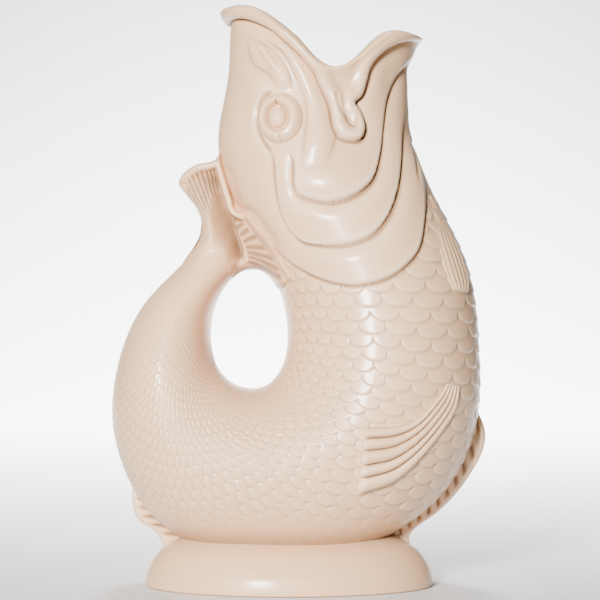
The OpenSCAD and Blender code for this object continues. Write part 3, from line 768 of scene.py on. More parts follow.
def relief(t, a, points):
    """Height of all the reliefs over the bare tube, in metres.

    The head has its own, and the body its scales. At the tail's end the front of the skin dives
    beneath the fan, by a power of the hump of the angle times a ramp along the tube.
    """
    t, a = np.broadcast_arrays(t, a)
    x, y = seen(points)
    height = np.zeros(t.shape)
    head = t < HEAD_RELIEF_END
    if head.any():
        height[head] = head_relief(a[head], x[head], y[head]) + groove_by_fan(a[head], x[head], y[head])
    body = t > SCALES_START
    if body.any():
        share = scale_share(t[body], a[body], x[body], y[body])
        rise = np.interp(t[body], RISE_STATIONS, SCALE_RISES)
        height[body] += rise * share * scales(t[body], a[body])
        height[body] -= 1.4 * hump(a[body]) ** 3 * ramp(t[body], 19.2, WRIST_STATION)
    return MM * height * sizes().relief


def dressed(t, a):
    """Points of the skin with its reliefs, and the heights of those reliefs."""
    points = tube(t, a)
    height = relief(t, a, points)
    return points + outward(t, a) * height[..., None], height


def seam_normals(t, a, small=0.012):
    """Normals of the dressed skin along one station, the same from either side of a seam."""
    points, _ = dressed(np.array([[t - small], [t], [t + small]]), a)
    down = points[2] - points[0]
    round_it = np.roll(points[1], -1, axis=0) - np.roll(points[1], 1, axis=0)
    return unit(np.cross(down, round_it))


def above_foot(points, level):
    """Points held at or above a level, so that the belly ends inside the foot's top."""
    points = points.copy()
    points[..., 2] = np.maximum(points[..., 2], level)
    return points


def skin_piece(name, span, rows, nodes, head=False, tail=False):
    """One closed length of the tube: dressed outside, plain inside, a wall apart.

    At the head its two skins are joined over the rim by half an oval; at the tail both are closed
    by poles, which shuts the gurgle chamber. The recess mark also rises just over the foot, as painted
    shade where the bowl meets the foot, along with glaze that pools there. Points next to a seam take
    the normals of the whole tube there.
    """
    size = sizes()
    start, end = span
    turns = int(TURNS * FINE)
    rows = int(rows * FINE)
    a = ring_of(turns)
    margin = 6
    step = (end - start) / rows
    t = start + step * np.arange(-margin, rows + margin + 1)
    points, height = dressed(t[:, None], a[None, :])
    # Recess mark: painted shade in the relief's hollows, along with glaze that pools there. Ridge mark:
    # thin glaze on its crests.
    recess, ridge = marks_of(height, 4 * FINE, 0.45 * MM)
    # Painted shade just over the foot, where the bowl meets it, along with glaze that pools there.
    pooled_and_shaded = POOL_AND_SHADE_MARK * (1 - ramp(points[..., 2], POOL_AND_SHADE_FADE[0] * MM, POOL_AND_SHADE_FADE[1] * MM))
    recess = np.maximum(recess, pooled_and_shaded)
    outer, recess, ridge = (grid[margin:-margin] for grid in (points, recess, ridge))
    inner_t = np.linspace(CHAMBER_STATION if tail else end, start, INNER_ROWS)
    inner = tube(inner_t[:, None], a[None, :], -size.wall)
    outer = above_foot(outer, size.foot_height - FOOT_LAP * MM)
    inner = above_foot(inner, size.foot_height + size.wall - FOOT_LAP * MM)
    if tail:
        outer, inner, recess, ridge = (grid[::-1] for grid in (outer, inner, recess, ridge))
    rings = np.concatenate([outer, inner])
    if head:
        middle = (outer[0] + inner[-1]) / 2
        half = (outer[0] - inner[-1]) / 2
        up = unit(outer[0] - outer[2])
        sweep = np.linspace(np.pi, 0, 14)[1:-1, None, None]
        crest = 0.62 * np.linalg.norm(half, axis=-1, keepdims=True)
        rim = middle + half * np.cos(sweep) + up * crest * np.sin(sweep)
        rings = np.concatenate([rings, rim])
    seams = [(len(outer) - 1, start if tail else end)]
    if not head and not tail:
        seams.append((0, start))
    chosen = np.concatenate([row * turns + np.arange(turns) for row, _ in seams])
    given = np.concatenate([seam_normals(at, a) for _, at in seams])
    points, faces = joined(rings, not tail, tail)
    marks = {"recess": recess.ravel(), "ridge": ridge.ravel()}
    add_piece(name, nodes, points, faces, marks, (chosen, given))


def table_curve(points, share):
    """A smooth curve through given points, read at a share of the way along them."""
    points = np.asarray(points, float)
    return along(points, bend_of(points), np.asarray(share, float) * (len(points) - 1))


def even_sheet(half_grid, recess, ridge):
    """A closed sheet with the same face on both sides of the middle plane, and its marks."""
    points, faces = two_layers(half_grid, half_grid * MIRROR)
    marks = {}
    for name, mark in (("recess", recess), ("ridge", ridge)):
        marks[name] = np.concatenate([mark, mark[:, ::-1]], axis=1).ravel()
    return points, faces, marks


def both_sides(name, points, faces, marks):
    """A piece on the left side and its mirror image on the right, each in its node's place."""
    add_piece(f"{name}_left_glazed", [f"{name}_left"], points, faces, marks)
    add_piece(f"{name}_right_glazed", [f"{name}_right"], points * MIRROR, faces, marks)


def eye_points():
    """Rings of the eye: the profile's height over ovals about its middle, then its sunk base.

    The pupil's middle sits a little off the ring's, so the ovals drift back to it near the middle.
    A notch at the top and a seam at the bottom cross the ring, and its back lies lower.
    """
    turn = ring_of(int(180 * FINE))[None, :]
    radius = np.linspace(0.02, 1, int(120 * FINE))[:, None]
    profile = np.array(EYE_PROFILE)
    height = np.interp(radius, profile[:, 0], profile[:, 1]) + 0 * turn
    height = (height + blurred(height, 2 * FINE)) / 2
    out = np.clip((radius - PUPIL_SHARE) / (1 - PUPIL_SHARE), 0, 1)
    size = np.minimum(radius / PUPIL_SHARE, 1)
    centre = [PUPIL_SPOT[k] + (EYE_SPOT[k] - PUPIL_SPOT[k]) * out for k in (0, 1)]
    reach = [PUPIL_RADII[k] * size + (EYE_RADII[k] - PUPIL_RADII[k]) * out for k in (0, 1)]
    px = centre[0] + reach[0] * np.cos(turn)
    py = centre[1] - reach[1] * np.sin(turn)
    notch = bell(px - NOTCH_X, 1.3) * (np.sin(turn) > 0) * bell(radius - 0.47, 0.13)
    leaning = px - SEAM_SPOT[0] - 0.12 * (py - SEAM_SPOT[1])
    seam = bell(leaning, 0.9) * (np.sin(turn) < 0) * ramp(radius, 0.55, 0.7)
    height = height - 1.6 * notch - 0.5 * seam * ramp(1.02 - radius, 0, 0.1)
    height = height - 0.5 * hump(turn - np.radians(140)) * ramp(radius, 0.7, 0.95)
    outer = on_side(px, py, height * MM)
    base_share = np.linspace(1, 0.05, 4)[1:, None]
    base_x = EYE_SPOT[0] + EYE_RADII[0] * base_share * np.cos(turn)
    base_y = EYE_SPOT[1] - EYE_RADII[1] * base_share * np.sin(turn)
    base = on_side(base_x, base_y, np.full(base_x.shape, -SUNK * MM))
    # Recess mark: painted shade in the eye's grooves, along with glaze that pools there. Ridge mark: thin
    # glaze on its crests.
    recess, ridge = marks_of(height * MM, 5 * FINE, 0.6 * MM)
    points, faces = joined(np.concatenate([outer, base]), False, True)
    return points, faces, {"recess": recess.ravel(), "ridge": ridge.ravel()}


def laid_fin(top, foot, rise, ridges, end_draw, low, soft=0.045):
    """A ribbed fin on the side: a grid from root to tip between its two edges, over a sunk base.

    Height is the rise along the fin times the share of the ribs across, which is low in the
    grooves. There the tip is drawn back, and all edges roll down as quarter circles.
    """
    v = np.linspace(0, 1, int(140 * FINE) + 1)[None, :]
    u = np.linspace(0, 1, int(150 * FINE) + 1)[:, None]
    rib = ridges(v)
    along_fin = u * (1 - end_draw * (1 - rib))
    upper = table_curve(top, along_fin + 0 * v)
    lower = table_curve(foot, along_fin + 0 * v)
    spot = upper + (lower - upper) * v[..., None]
    edge = quarter_round(v, soft) * quarter_round(1 - v, 0.045)
    end = quarter_round(1 - u, 0.06)
    height = (rise(u) * (low + (1 - low) * rib) * edge * end - 0.25) * MM
    outer = on_side(spot[..., 0], spot[..., 1], height)
    base = on_side(spot[..., 0], spot[..., 1], np.full(height.shape, -SUNK * MM))
    points, faces = two_layers(outer, base)
    marks = {}
    # Recess mark: painted shade in the grooves between the rays and along the sunk edges, along with glaze
    # that pools there. Ridge mark: thin glaze on the ribs.
    for name, mark in zip(("recess", "ridge"), marks_of(height, 6 * FINE, 0.7 * MM)):
        marks[name] = np.concatenate([mark, 0 * mark], axis=1).ravel()
    return points, faces, marks


def ribs_between(grooves, sharp):
    """Rounded ribs between grooves: a power of the sine of the share of the way between two."""
    def rib(v):
        count = np.interp(v, grooves, np.arange(len(grooves)))
        return np.abs(np.sin(np.pi * count)) ** sharp
    return rib


def keel(edge_line, base_line, folds, thick):
    """A fin on the middle plane: half thickness falls from its base to a rounded edge.

    Folds press in strokes near the base: a sharpened hump of the way across them, which is the
    slant's cosine of x less its sine of y, from the first stroke on at an even spacing.
    """
    slant, first, spacing = folds
    v = np.linspace(0, 1, int(260 * FINE) + 1)[:, None]
    u = np.linspace(0, 1, int(48 * FINE) + 1)[None, :]
    edge = table_curve(edge_line, v[:, 0])[:, None, :]
    base = table_curve(base_line, v[:, 0])[:, None, :]
    spot = base + (edge - base) * u[..., None]
    swell = 0.4 + 0.6 * np.sin(np.pi * np.clip(v, 0.02, 0.98)) ** 0.6
    taper = 1 - 0.5 * ramp(u, 0.0, 0.9)
    tilt = np.radians(slant)
    across = np.cos(tilt) * spot[..., 0] - np.sin(tilt) * spot[..., 1]
    stroke = hump(2 * np.pi * (across - first) / spacing) ** 2.6
    pressed = window(u, 0.04, 0.2, 0.58, 0.86) * window(v, 0.06, 0.14, 0.84, 0.93)
    half = (thick * swell * taper - 1.5 * stroke * pressed * swell) * quarter_round(1 - u, 0.22)
    half = np.maximum(half, THINNEST) * MM
    x, z = behind(spot[..., 0], spot[..., 1])
    # Recess mark: painted shade in the fold strokes and along the base where the fin leaves the body. Ridge
    # mark: painted light, which makes the outer band paler in the thin glaze's colour.
    recess = np.clip(stroke * pressed + 0.4 * (1 - ramp(u, 0.15, 0.6)), 0, 1)
    return even_sheet(np.stack([x, half, z], -1), recess, 0.4 * ramp(u, 0.5, 0.9) + 0 * half)


def even_line(line, share):
    """Spots at shares of the length of a given line made smooth."""
    line = smooth_line(line, 12)
    passed = np.concatenate([[0], np.cumsum(np.hypot(*np.diff(line, axis=0).T))])
    return np.stack([np.interp(share * passed[-1], passed, line[:, k]) for k in (0, 1)], -1)


def four_sided(hub, rim, back, arch, u, v):
    """A sheet between four lines: the mix of each facing pair, less the mix of the four corners."""
    low = even_line(hub, u)[None]
    high = even_line(rim, u)[None]
    near = even_line(back, v)[:, None]
    far = even_line(arch, v)[:, None]
    u = u[None, :, None]
    v = v[:, None, None]
    first = (1 - u) * low[:, :1] + u * low[:, -1:]
    last = (1 - u) * high[:, :1] + u * high[:, -1:]
    return (1 - v) * (low - first) + v * (high - last) + (1 - u) * near + u * far


def sheet_through(spots, x, y):
    """Heights of a thin springy plate that is held at given spots.

    Each spot adds its weight times its squared distance times the log of that, over a tilted
    plane. The weights solve the system that makes the plate meet every spot.
    """
    spots = np.asarray(spots, float)
    places = spots[:, :2] / 100

    def pull(one, two):
        gap = ((one[:, None] - two[None]) ** 2).sum(-1)
        return gap * np.log(np.maximum(gap, 1e-12))

    plane = np.column_stack([np.ones(len(places)), places])
    system = np.block([
        [pull(places, places) + 1e-4 * np.eye(len(places)), plane], [plane.T, np.zeros((3, 3))]])
    weights = np.linalg.solve(system, np.concatenate([spots[:, 2], np.zeros(3)]))
    at = np.stack([x.ravel(), y.ravel()], -1) / 100
    tilted = np.column_stack([np.ones(len(at)), at])
    return (pull(at, places) @ weights[:-3] + tilted @ weights[-3:]).reshape(x.shape)


def depth_seen(x, y, span):
    """Half depth in millimetres of the bare tube behind pixels of the photograph."""
    return np.abs(on_side(x, y, 0.0, span)[..., 1]) / MM


def lobe_grooves(x, y):
    """Depth share of the grooves of the fan's lower lobe: the highest of the bells beside them."""
    groove = np.zeros(x.shape)
    for line in LOBE_GROOVES:
        gap, along_gap = beside(line, x, y, reach=20)
        groove = np.maximum(groove, bell(gap, 2.1) * window(along_gap, 0, 0.12, 0.9, 1))
    return groove


def pleats(x, y):
    """Depth share of the pleats in the fan's hollow: humps of the turn about their hub, squared.

    Each starts some way out from the hub, nearer to it the further it is turned.
    """
    turn = np.degrees(np.arctan2(PLEAT_HUB[0] - x, PLEAT_HUB[1] - y))
    pleat = hump(2 * np.pi * np.interp(turn, PLEATS, np.arange(len(PLEATS)))) ** 2
    radius = np.hypot(x - PLEAT_HUB[0], y - PLEAT_HUB[1])
    start = np.interp(turn, [17, 24], [94, 74])
    return pleat * window(turn, 11.5, 12.5, 29.2, 30.2) * ramp(radius - start, 0, 20)


def fan_points():
    """The tail's fan, as half thicknesses over a four-sided sheet of the middle plane.

    Inside, they follow two springy plates, one for the hollow and one for the lower lobe, pressed
    in by pleats and grooves. A rounded bead runs along the rim, and every free edge closes as a
    quarter circle. On the neck the bead sinks into the skin, over a web that keeps its edge
    whole, and low down the fan takes over the tail's own depth.
    """
    u = np.linspace(0, 1, int(250 * FINE) + 1)
    v = np.linspace(0, 1, int(142 * FINE) + 1)
    spot = four_sided(FAN_HUB, FAN_RIM, FAN_BACK, FAN_ARCH, u, v)
    x = spot[..., 0]
    y = spot[..., 1]
    neck = depth_seen(x, y, (0.0, TAIL_STATION))
    tail = depth_seen(x, y, (TAIL_STATION, 21.0))
    rim, along_rim = beside(FAN_BAND, x, y)
    rim = np.where(x > NECK_SIDE_X, -rim, np.abs(rim))
    outline = np.abs(beside(FAN_RIM, x, y)[0])
    back, along_back = beside(FAN_BACK, x, y)
    back = np.abs(back)
    arch = np.abs(beside(FAN_ARCH, x, y)[0])
    valley, _ = beside(FAN_VALLEY, x, y)
    wrist, _ = beside(WRIST_LINE, x, y, reach=140)
    pit, _ = beside(PIT_EDGE, x, y)
    low = ramp(y, 254, 266)
    in_lobe = ramp(pit + 7 * low, 0, 2.4 + 12 * low) * ramp(y, 216, 224)
    half = sheet_through(FAN_HEIGHTS, x, y)
    lobe = np.maximum(sheet_through(LOBE_HEIGHTS, x, y), neck + 1.0)
    groove = lobe_grooves(x, y) * in_lobe * ramp(rim, 5, 9)
    half += (lobe - half) * in_lobe - 1.5 * groove
    pleat = pleats(x, y) * ramp(rim, 7, 10.5)
    half -= 1.7 * pleat
    bead = np.maximum(np.interp(along_rim, FAN_RIM_PLACES, FAN_RIM_HEIGHTS), neck + 3.0)
    bead -= 0.5 * ((rim - 3.6) / 3.6) ** 2
    half += (bead - half) * (1 - ramp(rim, 6.2, 8.8))
    web = 6.0 * window(y, 160, 186, 214, 226) * (rim < 2)
    sunk = np.maximum(0.88 * neck - 1.2, THINNEST + web)
    half = sunk + (half - sunk) * quarter_round(rim, 2.8)
    closing = np.maximum(0.88 * neck - 1.4, THINNEST)
    half = np.where(rim < 3, closing + (half - closing) * quarter_round(outline, 1.6), half)
    half *= quarter_round(back, np.interp(along_back, [0, 0.45, 1], [22, 13, 4.5]))
    half *= quarter_round(arch, 9)
    on_tail = (1 - ramp(valley, -7, 1)) * (1 - ramp(wrist, 0, 26))
    on_tail *= ramp(tail, 0.5, 4) * ramp(back, 3, 17)
    buried = np.maximum(tail - 0.35 - 1.8 * (1 - ramp(v[:, None], 0.0, 0.10)), THINNEST)
    half += (buried - half) * on_tail
    half = np.maximum(half, THINNEST) * MM
    place_x, place_z = behind(x, y, half)
    # Recess mark: painted shade deep in the hollow, inside the rim, in the pleats, over the lower lobe and
    # in its grooves.
    deep = np.exp(-np.clip(-pit, 0, None) ** 2 / 130) * (1 - in_lobe)
    deep *= window(y, 168, 186, 254, 266) * ramp(rim, 7.5, 9.5)
    inner = ramp(rim, 7, 10) * (1 - ramp(y, 205, 232))
    recess = 1.15 * deep + 0.3 * inner + 0.7 * pleat + 0.25 * in_lobe * ramp(rim, 6, 9) + 0.7 * groove
    return even_sheet(np.stack([place_x, half, place_z], -1), np.clip(recess, 0, 1), 0 * recess)


def foot_points():
    """The foot: ovals drawn in by its profile, from the hollow beneath to the middle of its top."""
    size = sizes()
    turn = ring_of(int(360 * FINE))
    profile = table_curve(FOOT_PROFILE, np.linspace(0, 1, int(90 * FINE)))
    whole = np.concatenate([FOOT_UNDER, profile, FOOT_OVER])
    height = whole[:, 0, None] * MM
    inset = whole[:, 1, None] * MM
    middle = FOOT_MIDDLE_SHARE * size.length - size.middle
    x = middle + (size.foot_length / 2 - inset) * np.cos(turn)
    y = (size.foot_depth / 2 - inset) * np.sin(turn)
    points, faces = joined(np.stack(np.broadcast_arrays(x, y, height), -1), False, True)
    # Recess mark: painted shadow along the bottom edge, and painted shade in the crease under the bowl and
    # beneath.
    mark = np.interp(whole[:, 0], FOOT_SHADE_HEIGHTS, FOOT_SHADE_MARKS)
    mark[:len(FOOT_UNDER)] = FOOT_UNDER_SHADE
    return points, faces, {"recess": np.repeat(mark, len(turn))}


def wired(tree, kind, inputs, **settings):
    """A shader node with its settings; each input is a value or a socket that it is wired from."""
    item = tree.nodes.new(kind)
    for label, value in settings.items():
        setattr(item, label, value)
    for socket, value in inputs.items():
        if isinstance(value, bpy.types.NodeSocket):
            tree.links.new(value, item.inputs[socket])
        else:
            item.inputs[socket].default_value = value
    return item


def glaze_group():
    """Glaze over relief, as colours and masks: painted shade in recesses, along with glaze that
    pools there, and thin, pale glaze on ridges, which on the keels is painted light.

    Slow noise clouds the colour and the gloss, and fine noise gives the faint skin of the glaze.
    """
    group = bpy.data.node_groups.new("glaze over relief", "ShaderNodeTree")
    face = group.interface
    for label in ("Thin", "Glaze", "Pooled"):
        face.new_socket(label, in_out="INPUT", socket_type="NodeSocketColor")
    for label in ("Pooling", "Clouding", "Roughness", "Skin"):
        face.new_socket(label, in_out="INPUT", socket_type="NodeSocketFloat")
    face.new_socket("Color", in_out="OUTPUT", socket_type="NodeSocketColor")
    face.new_socket("Roughness", in_out="OUTPUT", socket_type="NodeSocketFloat")
    face.new_socket("Normal", in_out="OUTPUT", socket_type="NodeSocketVector")
    given = wired(group, "NodeGroupInput", {}).outputs
    place = wired(group, "ShaderNodeTexCoord", {}).outputs["Object"]
    recess = wired(group, "ShaderNodeAttribute", {}, attribute_name="recess").outputs["Fac"]
    ridge = wired(group, "ShaderNodeAttribute", {}, attribute_name="ridge").outputs["Fac"]
    noise = {"Vector": place, "Scale": 22.0, "Detail": 3.0}
    clouds = wired(group, "ShaderNodeTexNoise", noise).outputs["Fac"]
    noise = {"Vector": place, "Scale": 850.0, "Detail": 2.0}
    specks = wired(group, "ShaderNodeTexNoise", noise).outputs["Fac"]
    # The recess mark mixes in the dark colour: painted shade in hollows and creases, along with glaze that
    # pools there.
    shade_and_pool = wired(group, "ShaderNodeMath", {0: recess, 1: given["Pooling"]}, operation="MULTIPLY")
    mix = {"Factor": shade_and_pool.outputs[0], "A": given["Glaze"], "B": given["Pooled"]}
    deep = wired(group, "ShaderNodeMix", mix, data_type="RGBA").outputs["Result"]
    # The ridge mark mixes in the pale colour: thin glaze on crests, and painted light on the keels' outer
    # band.
    mix = {"Factor": ridge, "A": deep, "B": given["Thin"]}
    thin = wired(group, "ShaderNodeMix", mix, data_type="RGBA").outputs["Result"]
    darkest = wired(group, "ShaderNodeMath", {0: 1.0, 1: given["Clouding"]}, operation="SUBTRACT")
    shade = wired(group, "ShaderNodeMapRange", {
        "Value": clouds, "From Min": 0.3, "From Max": 0.7, "To Min": darkest.outputs[0], "To Max": 1.0})
    tinted = {0: thin, "Scale": shade.outputs["Result"]}
    tint = wired(group, "ShaderNodeVectorMath", tinted, operation="SCALE")
    duller = {0: clouds, 1: 0.12, 2: given["Roughness"]}
    gloss = wired(group, "ShaderNodeMath", duller, operation="MULTIPLY_ADD")
    bump = wired(group, "ShaderNodeBump", {
        "Distance": 0.15 * MM, "Strength": given["Skin"], "Height": specks})
    wired(group, "NodeGroupOutput", {
        "Color": tint.outputs["Vector"], "Roughness": gloss.outputs[0], "Normal": bump.outputs["Normal"]})
    return group


def cream():
    """The cream glaze, made once: the group feeds colour, roughness and normal of one Principled."""
    name = "cream glaze"
    if name in bpy.data.materials:
        return bpy.data.materials[name]
    colours = bpy.context.scene.jug_colours
    material = bpy.data.materials.new(name)
    material.use_nodes = True
    tree = material.node_tree
    shader = tree.nodes["Principled BSDF"]
    over = tree.nodes.new("ShaderNodeGroup")
    over.node_tree = glaze_group()
    values = {
        "Thin": (*colours.thin, 1), "Glaze": (*colours.glaze, 1), "Pooled": (*colours.pooled_and_shaded, 1),
        "Pooling": 0.85, "Clouding": 0.04, "Roughness": 0.42, "Skin": 0.1}
    for label, value in values.items():
        over.inputs[label].default_value = value
    for socket, target in (("Color", "Base Color"), ("Roughness", "Roughness"), ("Normal", "Normal")):
        tree.links.new(over.outputs[socket], shader.inputs[target])
    shader.inputs["IOR"].default_value = 1.5
    shader.inputs["Coat Weight"].default_value = 0.35
    shader.inputs["Coat Roughness"].default_value = 0.16
    return material


class JugSizes(bpy.types.PropertyGroup):
    """Driving sizes of the jug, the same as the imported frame's."""
    height: bpy.props.FloatProperty(
        name="Height", description="From the foot to the top of the upper lip", default=250 * MM,
        unit="LENGTH")
    length: bpy.props.FloatProperty(
        name="Length", description="From the tail's back to the front fin's edge", default=160 * MM,
        unit="LENGTH")
    depth: bpy.props.FloatProperty(
        name="Depth", description="Across the widest part of the bowl", default=101 * MM, unit="LENGTH")
    middle: bpy.props.FloatProperty(
        name="Middle", description="How far the jug's box is off its mid length", default=0.2 * MM,
        unit="LENGTH")
    wall: bpy.props.FloatProperty(
        name="Wall", description="Thickness of the cast wall", default=4.5 * MM, unit="LENGTH")
    relief: bpy.props.FloatProperty(
        name="Relief", description="Strength of scales, plates and lip", default=1.0, min=0.0, max=1.5)
    foot_height: bpy.props.FloatProperty(
        name="Foot height", description="Height of the foot", default=19 * MM, unit="LENGTH")
    foot_length: bpy.props.FloatProperty(
        name="Foot length", description="Length of the foot where it stands", default=123 * MM,
        unit="LENGTH")
    foot_depth: bpy.props.FloatProperty(
        name="Foot depth", description="Depth of the foot where it stands", default=88 * MM,
        unit="LENGTH")


class JugColours(bpy.types.PropertyGroup):
    """Colours of the glaze and strength of the light."""
    glaze: bpy.props.FloatVectorProperty(
        name="Glaze", description="The glaze where it lies evenly", subtype="COLOR", size=3,
        default=(0.80, 0.495, 0.275), min=0, max=1)
    # Pale colour that the ridge mark mixes in: thin glaze on crests, and painted light on the keels' outer
    # band.
    thin: bpy.props.FloatVectorProperty(
        name="Thin glaze", description="The glaze where it runs thin on a ridge", subtype="COLOR", size=3,
        default=(0.88, 0.63, 0.42), min=0, max=1)
    # Dark colour that the recess mark mixes in: painted shade in hollows and creases, along with glaze that
    # pools there.
    pooled_and_shaded: bpy.props.FloatVectorProperty(
        name="Pooled glaze", description="The glaze where it pools in a recess", subtype="COLOR", size=3,
        default=(0.24, 0.12, 0.05), min=0, max=1)
    floor: bpy.props.FloatVectorProperty(
        name="Floor", description="The studio floor", subtype="COLOR", size=3,
        default=(0.82, 0.82, 0.82), min=0, max=1)
    light: bpy.props.FloatProperty(
        name="Light", description="Strength of the studio lights", default=1.0, min=0.0, max=5.0)


class JUG_OT_head(bpy.types.Operator):
    """Build the head and throat with its lip, gill plates and brow"""
    bl_idname = "jug.head"
    bl_label = "Head"

    def execute(self, context):
        nodes = ["head_shell", "gill_cover_left", "gill_cover_right", "jaw_strap_left", "jaw_strap_right"]
        skin_piece("head_skin_upper", (RIM_STATION, HEAD_CUT), HEAD_ROWS, nodes, head=True)
        skin_piece("head_skin_lower", (HEAD_CUT, NECK_STATION), HEAD_ROWS, nodes)
        return {"FINISHED"}


class JUG_OT_belly(bpy.types.Operator):
    """Build the scaled bowl in lengths of the tube"""
    bl_idname = "jug.belly"
    bl_label = "Belly"

    def execute(self, context):
        cuts = [NECK_STATION, *BELLY_CUTS, TAIL_STATION]
        for number, span in enumerate(zip(cuts[:-1], cuts[1:]), start=1):
            skin_piece(f"belly_skin_{number}", span, BELLY_ROWS, ["belly_shell"])
        return {"FINISHED"}


class JUG_OT_tail(bpy.types.Operator):
    """Build the scaled tail, closed at its top"""
    bl_idname = "jug.tail"
    bl_label = "Tail"

    def execute(self, context):
        nodes = ["tail_shell"]
        skin_piece("tail_skin_lower", (TAIL_STATION, TAIL_CUT), TAIL_ROWS, nodes)
        skin_piece("tail_skin_upper", (TAIL_CUT, WRIST_STATION), TAIL_ROWS, nodes, tail=True)
        return {"FINISHED"}


class JUG_OT_tail_fan(bpy.types.Operator):
    """Build the fan of the tail, hollow and pleated, against the neck"""
    bl_idname = "jug.tail_fan"
    bl_label = "Tail fan"

    def execute(self, context):
        add_piece("tail_fan", ["tail_fin"], *fan_points())
        return {"FINISHED"}


class JUG_OT_eyes(bpy.types.Operator):
    """Build both ringed eyes"""
    bl_idname = "jug.eyes"
    bl_label = "Eyes"

    def execute(self, context):
        both_sides("eye", *eye_points())
        return {"FINISHED"}


class JUG_OT_side_fins(bpy.types.Operator):
    """Build the rayed fins on both sides of the bowl"""
    bl_idname = "jug.side_fins"
    bl_label = "Side fins"

    def execute(self, context):
        def rise(u):
            return 1.5 + 2.5 * ramp(u, 0.05, 1.0)
        ribs = ribs_between(SIDE_FIN_GROOVES, 0.6)
        both_sides("pectoral_fin", *laid_fin(SIDE_FIN_TOP, SIDE_FIN_FOOT, rise, ribs, 0.03, 0.25))
        return {"FINISHED"}


class JUG_OT_breast_fins(bpy.types.Operator):
    """Build the narrow fins beside the throat"""
    bl_idname = "jug.breast_fins"
    bl_label = "Breast fins"

    def execute(self, context):
        def rise(u):
            return 0.7 + 1.6 * ramp(u, 0.1, 1.0)
        ribs = ribs_between(BREAST_FIN_GROOVES, 0.8)
        both_sides("breast_fin", *laid_fin(BREAST_FIN_BACK, BREAST_FIN_FRONT, rise, ribs, 0.0, 0.7, 0.4))
        return {"FINISHED"}


class JUG_OT_keels(bpy.types.Operator):
    """Build the ruffled fins low at the front and the back"""
    bl_idname = "jug.keels"
    bl_label = "Keel fins"

    def execute(self, context):
        front = keel(FRONT_KEEL_EDGE, FRONT_KEEL_BASE, FRONT_KEEL_FOLDS, FRONT_KEEL_THICK)
        rear = keel(REAR_KEEL_EDGE, REAR_KEEL_BASE, REAR_KEEL_FOLDS, REAR_KEEL_THICK)
        add_piece("front_keel_folded", ["front_keel_fin"], *front)
        add_piece("rear_keel_folded", ["rear_keel_fin"], *rear)
        return {"FINISHED"}


class JUG_OT_foot(bpy.types.Operator):
    """Build the flared oval foot"""
    bl_idname = "jug.foot"
    bl_label = "Foot"

    def execute(self, context):
        add_piece("foot_glazed", ["foot_plinth"], *foot_points(), slot="foot_glaze")
        return {"FINISHED"}


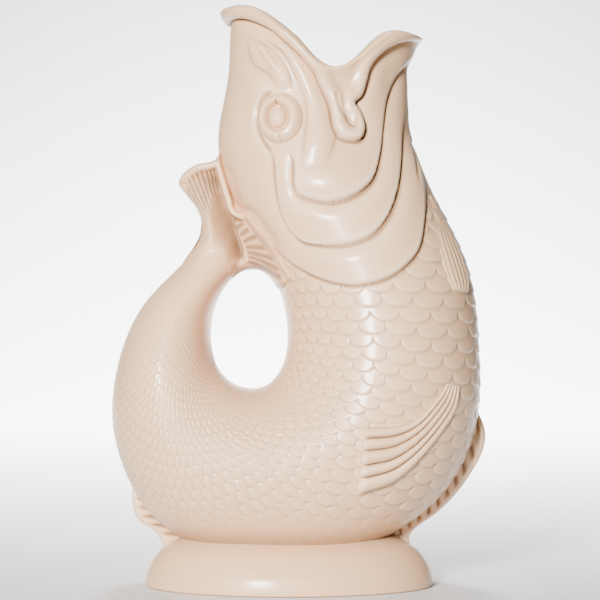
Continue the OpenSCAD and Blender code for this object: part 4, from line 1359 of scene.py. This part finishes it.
class JUG_OT_stage(bpy.types.Operator):
    """Set the camera of the photograph, a pale floor and soft studio lights"""
    bl_idname = "jug.stage"
    bl_label = "Stage"

    def execute(self, context):
        scene = context.scene
        camera = bpy.data.objects.new("camera", bpy.data.cameras.new("camera"))
        camera.data.sensor_width = SENSOR
        camera.data.lens = SENSOR * CAMERA_DISTANCE / (2 * PHOTO_MIDDLE * PIXEL)
        camera.data.clip_start = 0.05
        camera.location = (CAMERA_X, -CAMERA_DISTANCE, CAMERA_Z)
        camera.rotation_euler = (math.pi / 2, 0, 0)
        scene.collection.objects.link(camera)
        scene.camera = camera
        self.floor(scene)
        self.lights(scene)
        return {"FINISHED"}

    def floor(self, scene):
        """A floor that sweeps up at its far edge: a flat run, a quarter circle and an upright."""
        reach = 3.0
        bend = 0.8
        turn = np.linspace(0, np.pi / 2, 16)
        run = np.concatenate([[-reach], reach / 2 + bend * np.sin(turn), [reach / 2 + bend]])
        rise = np.concatenate([[0], bend * (1 - np.cos(turn)), [reach]])
        across = np.array([-reach, reach])
        points = np.stack(np.broadcast_arrays(across[None, :], run[:, None], rise[:, None]), -1)
        index = np.arange(points[..., 0].size).reshape(points.shape[:2])
        squares = np.stack([index[:-1, 0], index[:-1, 1], index[1:, 1], index[1:, 0]], -1)
        mesh = bpy.data.meshes.new("floor")
        mesh.from_pydata(points.reshape(-1, 3).tolist(), [], squares.tolist())
        mesh.polygons.foreach_set("use_smooth", np.ones(len(mesh.polygons), bool))
        material = bpy.data.materials.new("pale floor")
        material.use_nodes = True
        shader = material.node_tree.nodes["Principled BSDF"]
        shader.inputs["Base Color"].default_value = (*scene.jug_colours.floor, 1)
        shader.inputs["Roughness"].default_value = 0.6
        mesh.materials.append(material)
        floor = bpy.data.objects.new("floor", mesh)
        scene.collection.objects.link(floor)

    def lights(self, scene):
        """Soft boxes: a key from the front left above, a faint side fill and one for the backdrop."""
        strength = scene.jug_colours.light
        for name, place, target, extent, spread, power in LIGHTS:
            data = bpy.data.lights.new(name, "AREA")
            data.shape = "RECTANGLE"
            data.size, data.size_y = extent
            data.spread = math.radians(spread)
            data.energy = power * strength
            light = bpy.data.objects.new(name, data)
            aim = np.array(target) - np.array(place)
            flat = math.hypot(aim[0], aim[1])
            light.location = place
            light.rotation_euler = (math.atan2(flat, -aim[2]), 0, math.atan2(aim[1], aim[0]) - math.pi / 2)
            scene.collection.objects.link(light)
        world = bpy.data.worlds.new("studio")
        world.use_nodes = True
        backdrop = world.node_tree.nodes["Background"]
        backdrop.inputs["Color"].default_value = (1, 1, 1, 1)
        backdrop.inputs["Strength"].default_value = WORLD_STRENGTH * strength
        scene.world = world


OPERATORS = (
    JUG_OT_stage, JUG_OT_head, JUG_OT_belly, JUG_OT_tail, JUG_OT_tail_fan, JUG_OT_eyes, JUG_OT_side_fins,
    JUG_OT_breast_fins, JUG_OT_keels, JUG_OT_foot)


class JUG_PT_looks(bpy.types.Panel):
    """Sidebar panel with the jug's sizes, colours and pieces"""
    bl_idname = "JUG_PT_looks"
    bl_label = "Gurgle jug"
    bl_space_type = "VIEW_3D"
    bl_region_type = "UI"
    bl_category = "Jug"

    def draw(self, context):
        for group in (context.scene.jug_sizes, context.scene.jug_colours):
            box = self.layout.box()
            for name in group.__annotations__:
                box.prop(group, name)
        column = self.layout.column()
        for operator in OPERATORS:
            column.operator(operator.bl_idname)


CLASSES = (JugSizes, JugColours, *OPERATORS, JUG_PT_looks)


def register():
    for item in CLASSES:
        bpy.utils.register_class(item)
    bpy.types.Scene.jug_sizes = bpy.props.PointerProperty(type=JugSizes)
    bpy.types.Scene.jug_colours = bpy.props.PointerProperty(type=JugColours)


def unregister():
    del bpy.types.Scene.jug_colours
    del bpy.types.Scene.jug_sizes
    for item in reversed(CLASSES):
        bpy.utils.unregister_class(item)


def main():
    register()
    bpy.ops.jug.stage()
    bpy.ops.jug.head()
    bpy.ops.jug.belly()
    bpy.ops.jug.tail()
    bpy.ops.jug.tail_fan()
    bpy.ops.jug.eyes()
    bpy.ops.jug.side_fins()
    bpy.ops.jug.breast_fins()
    bpy.ops.jug.keels()
    bpy.ops.jug.foot()
    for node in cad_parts.values():
        if not node.data.materials:
            node.data.materials.append(cream())
        for place in range(len(node.data.materials)):
            node.data.materials[place] = cream()


if __name__ == "__main__":
    main()
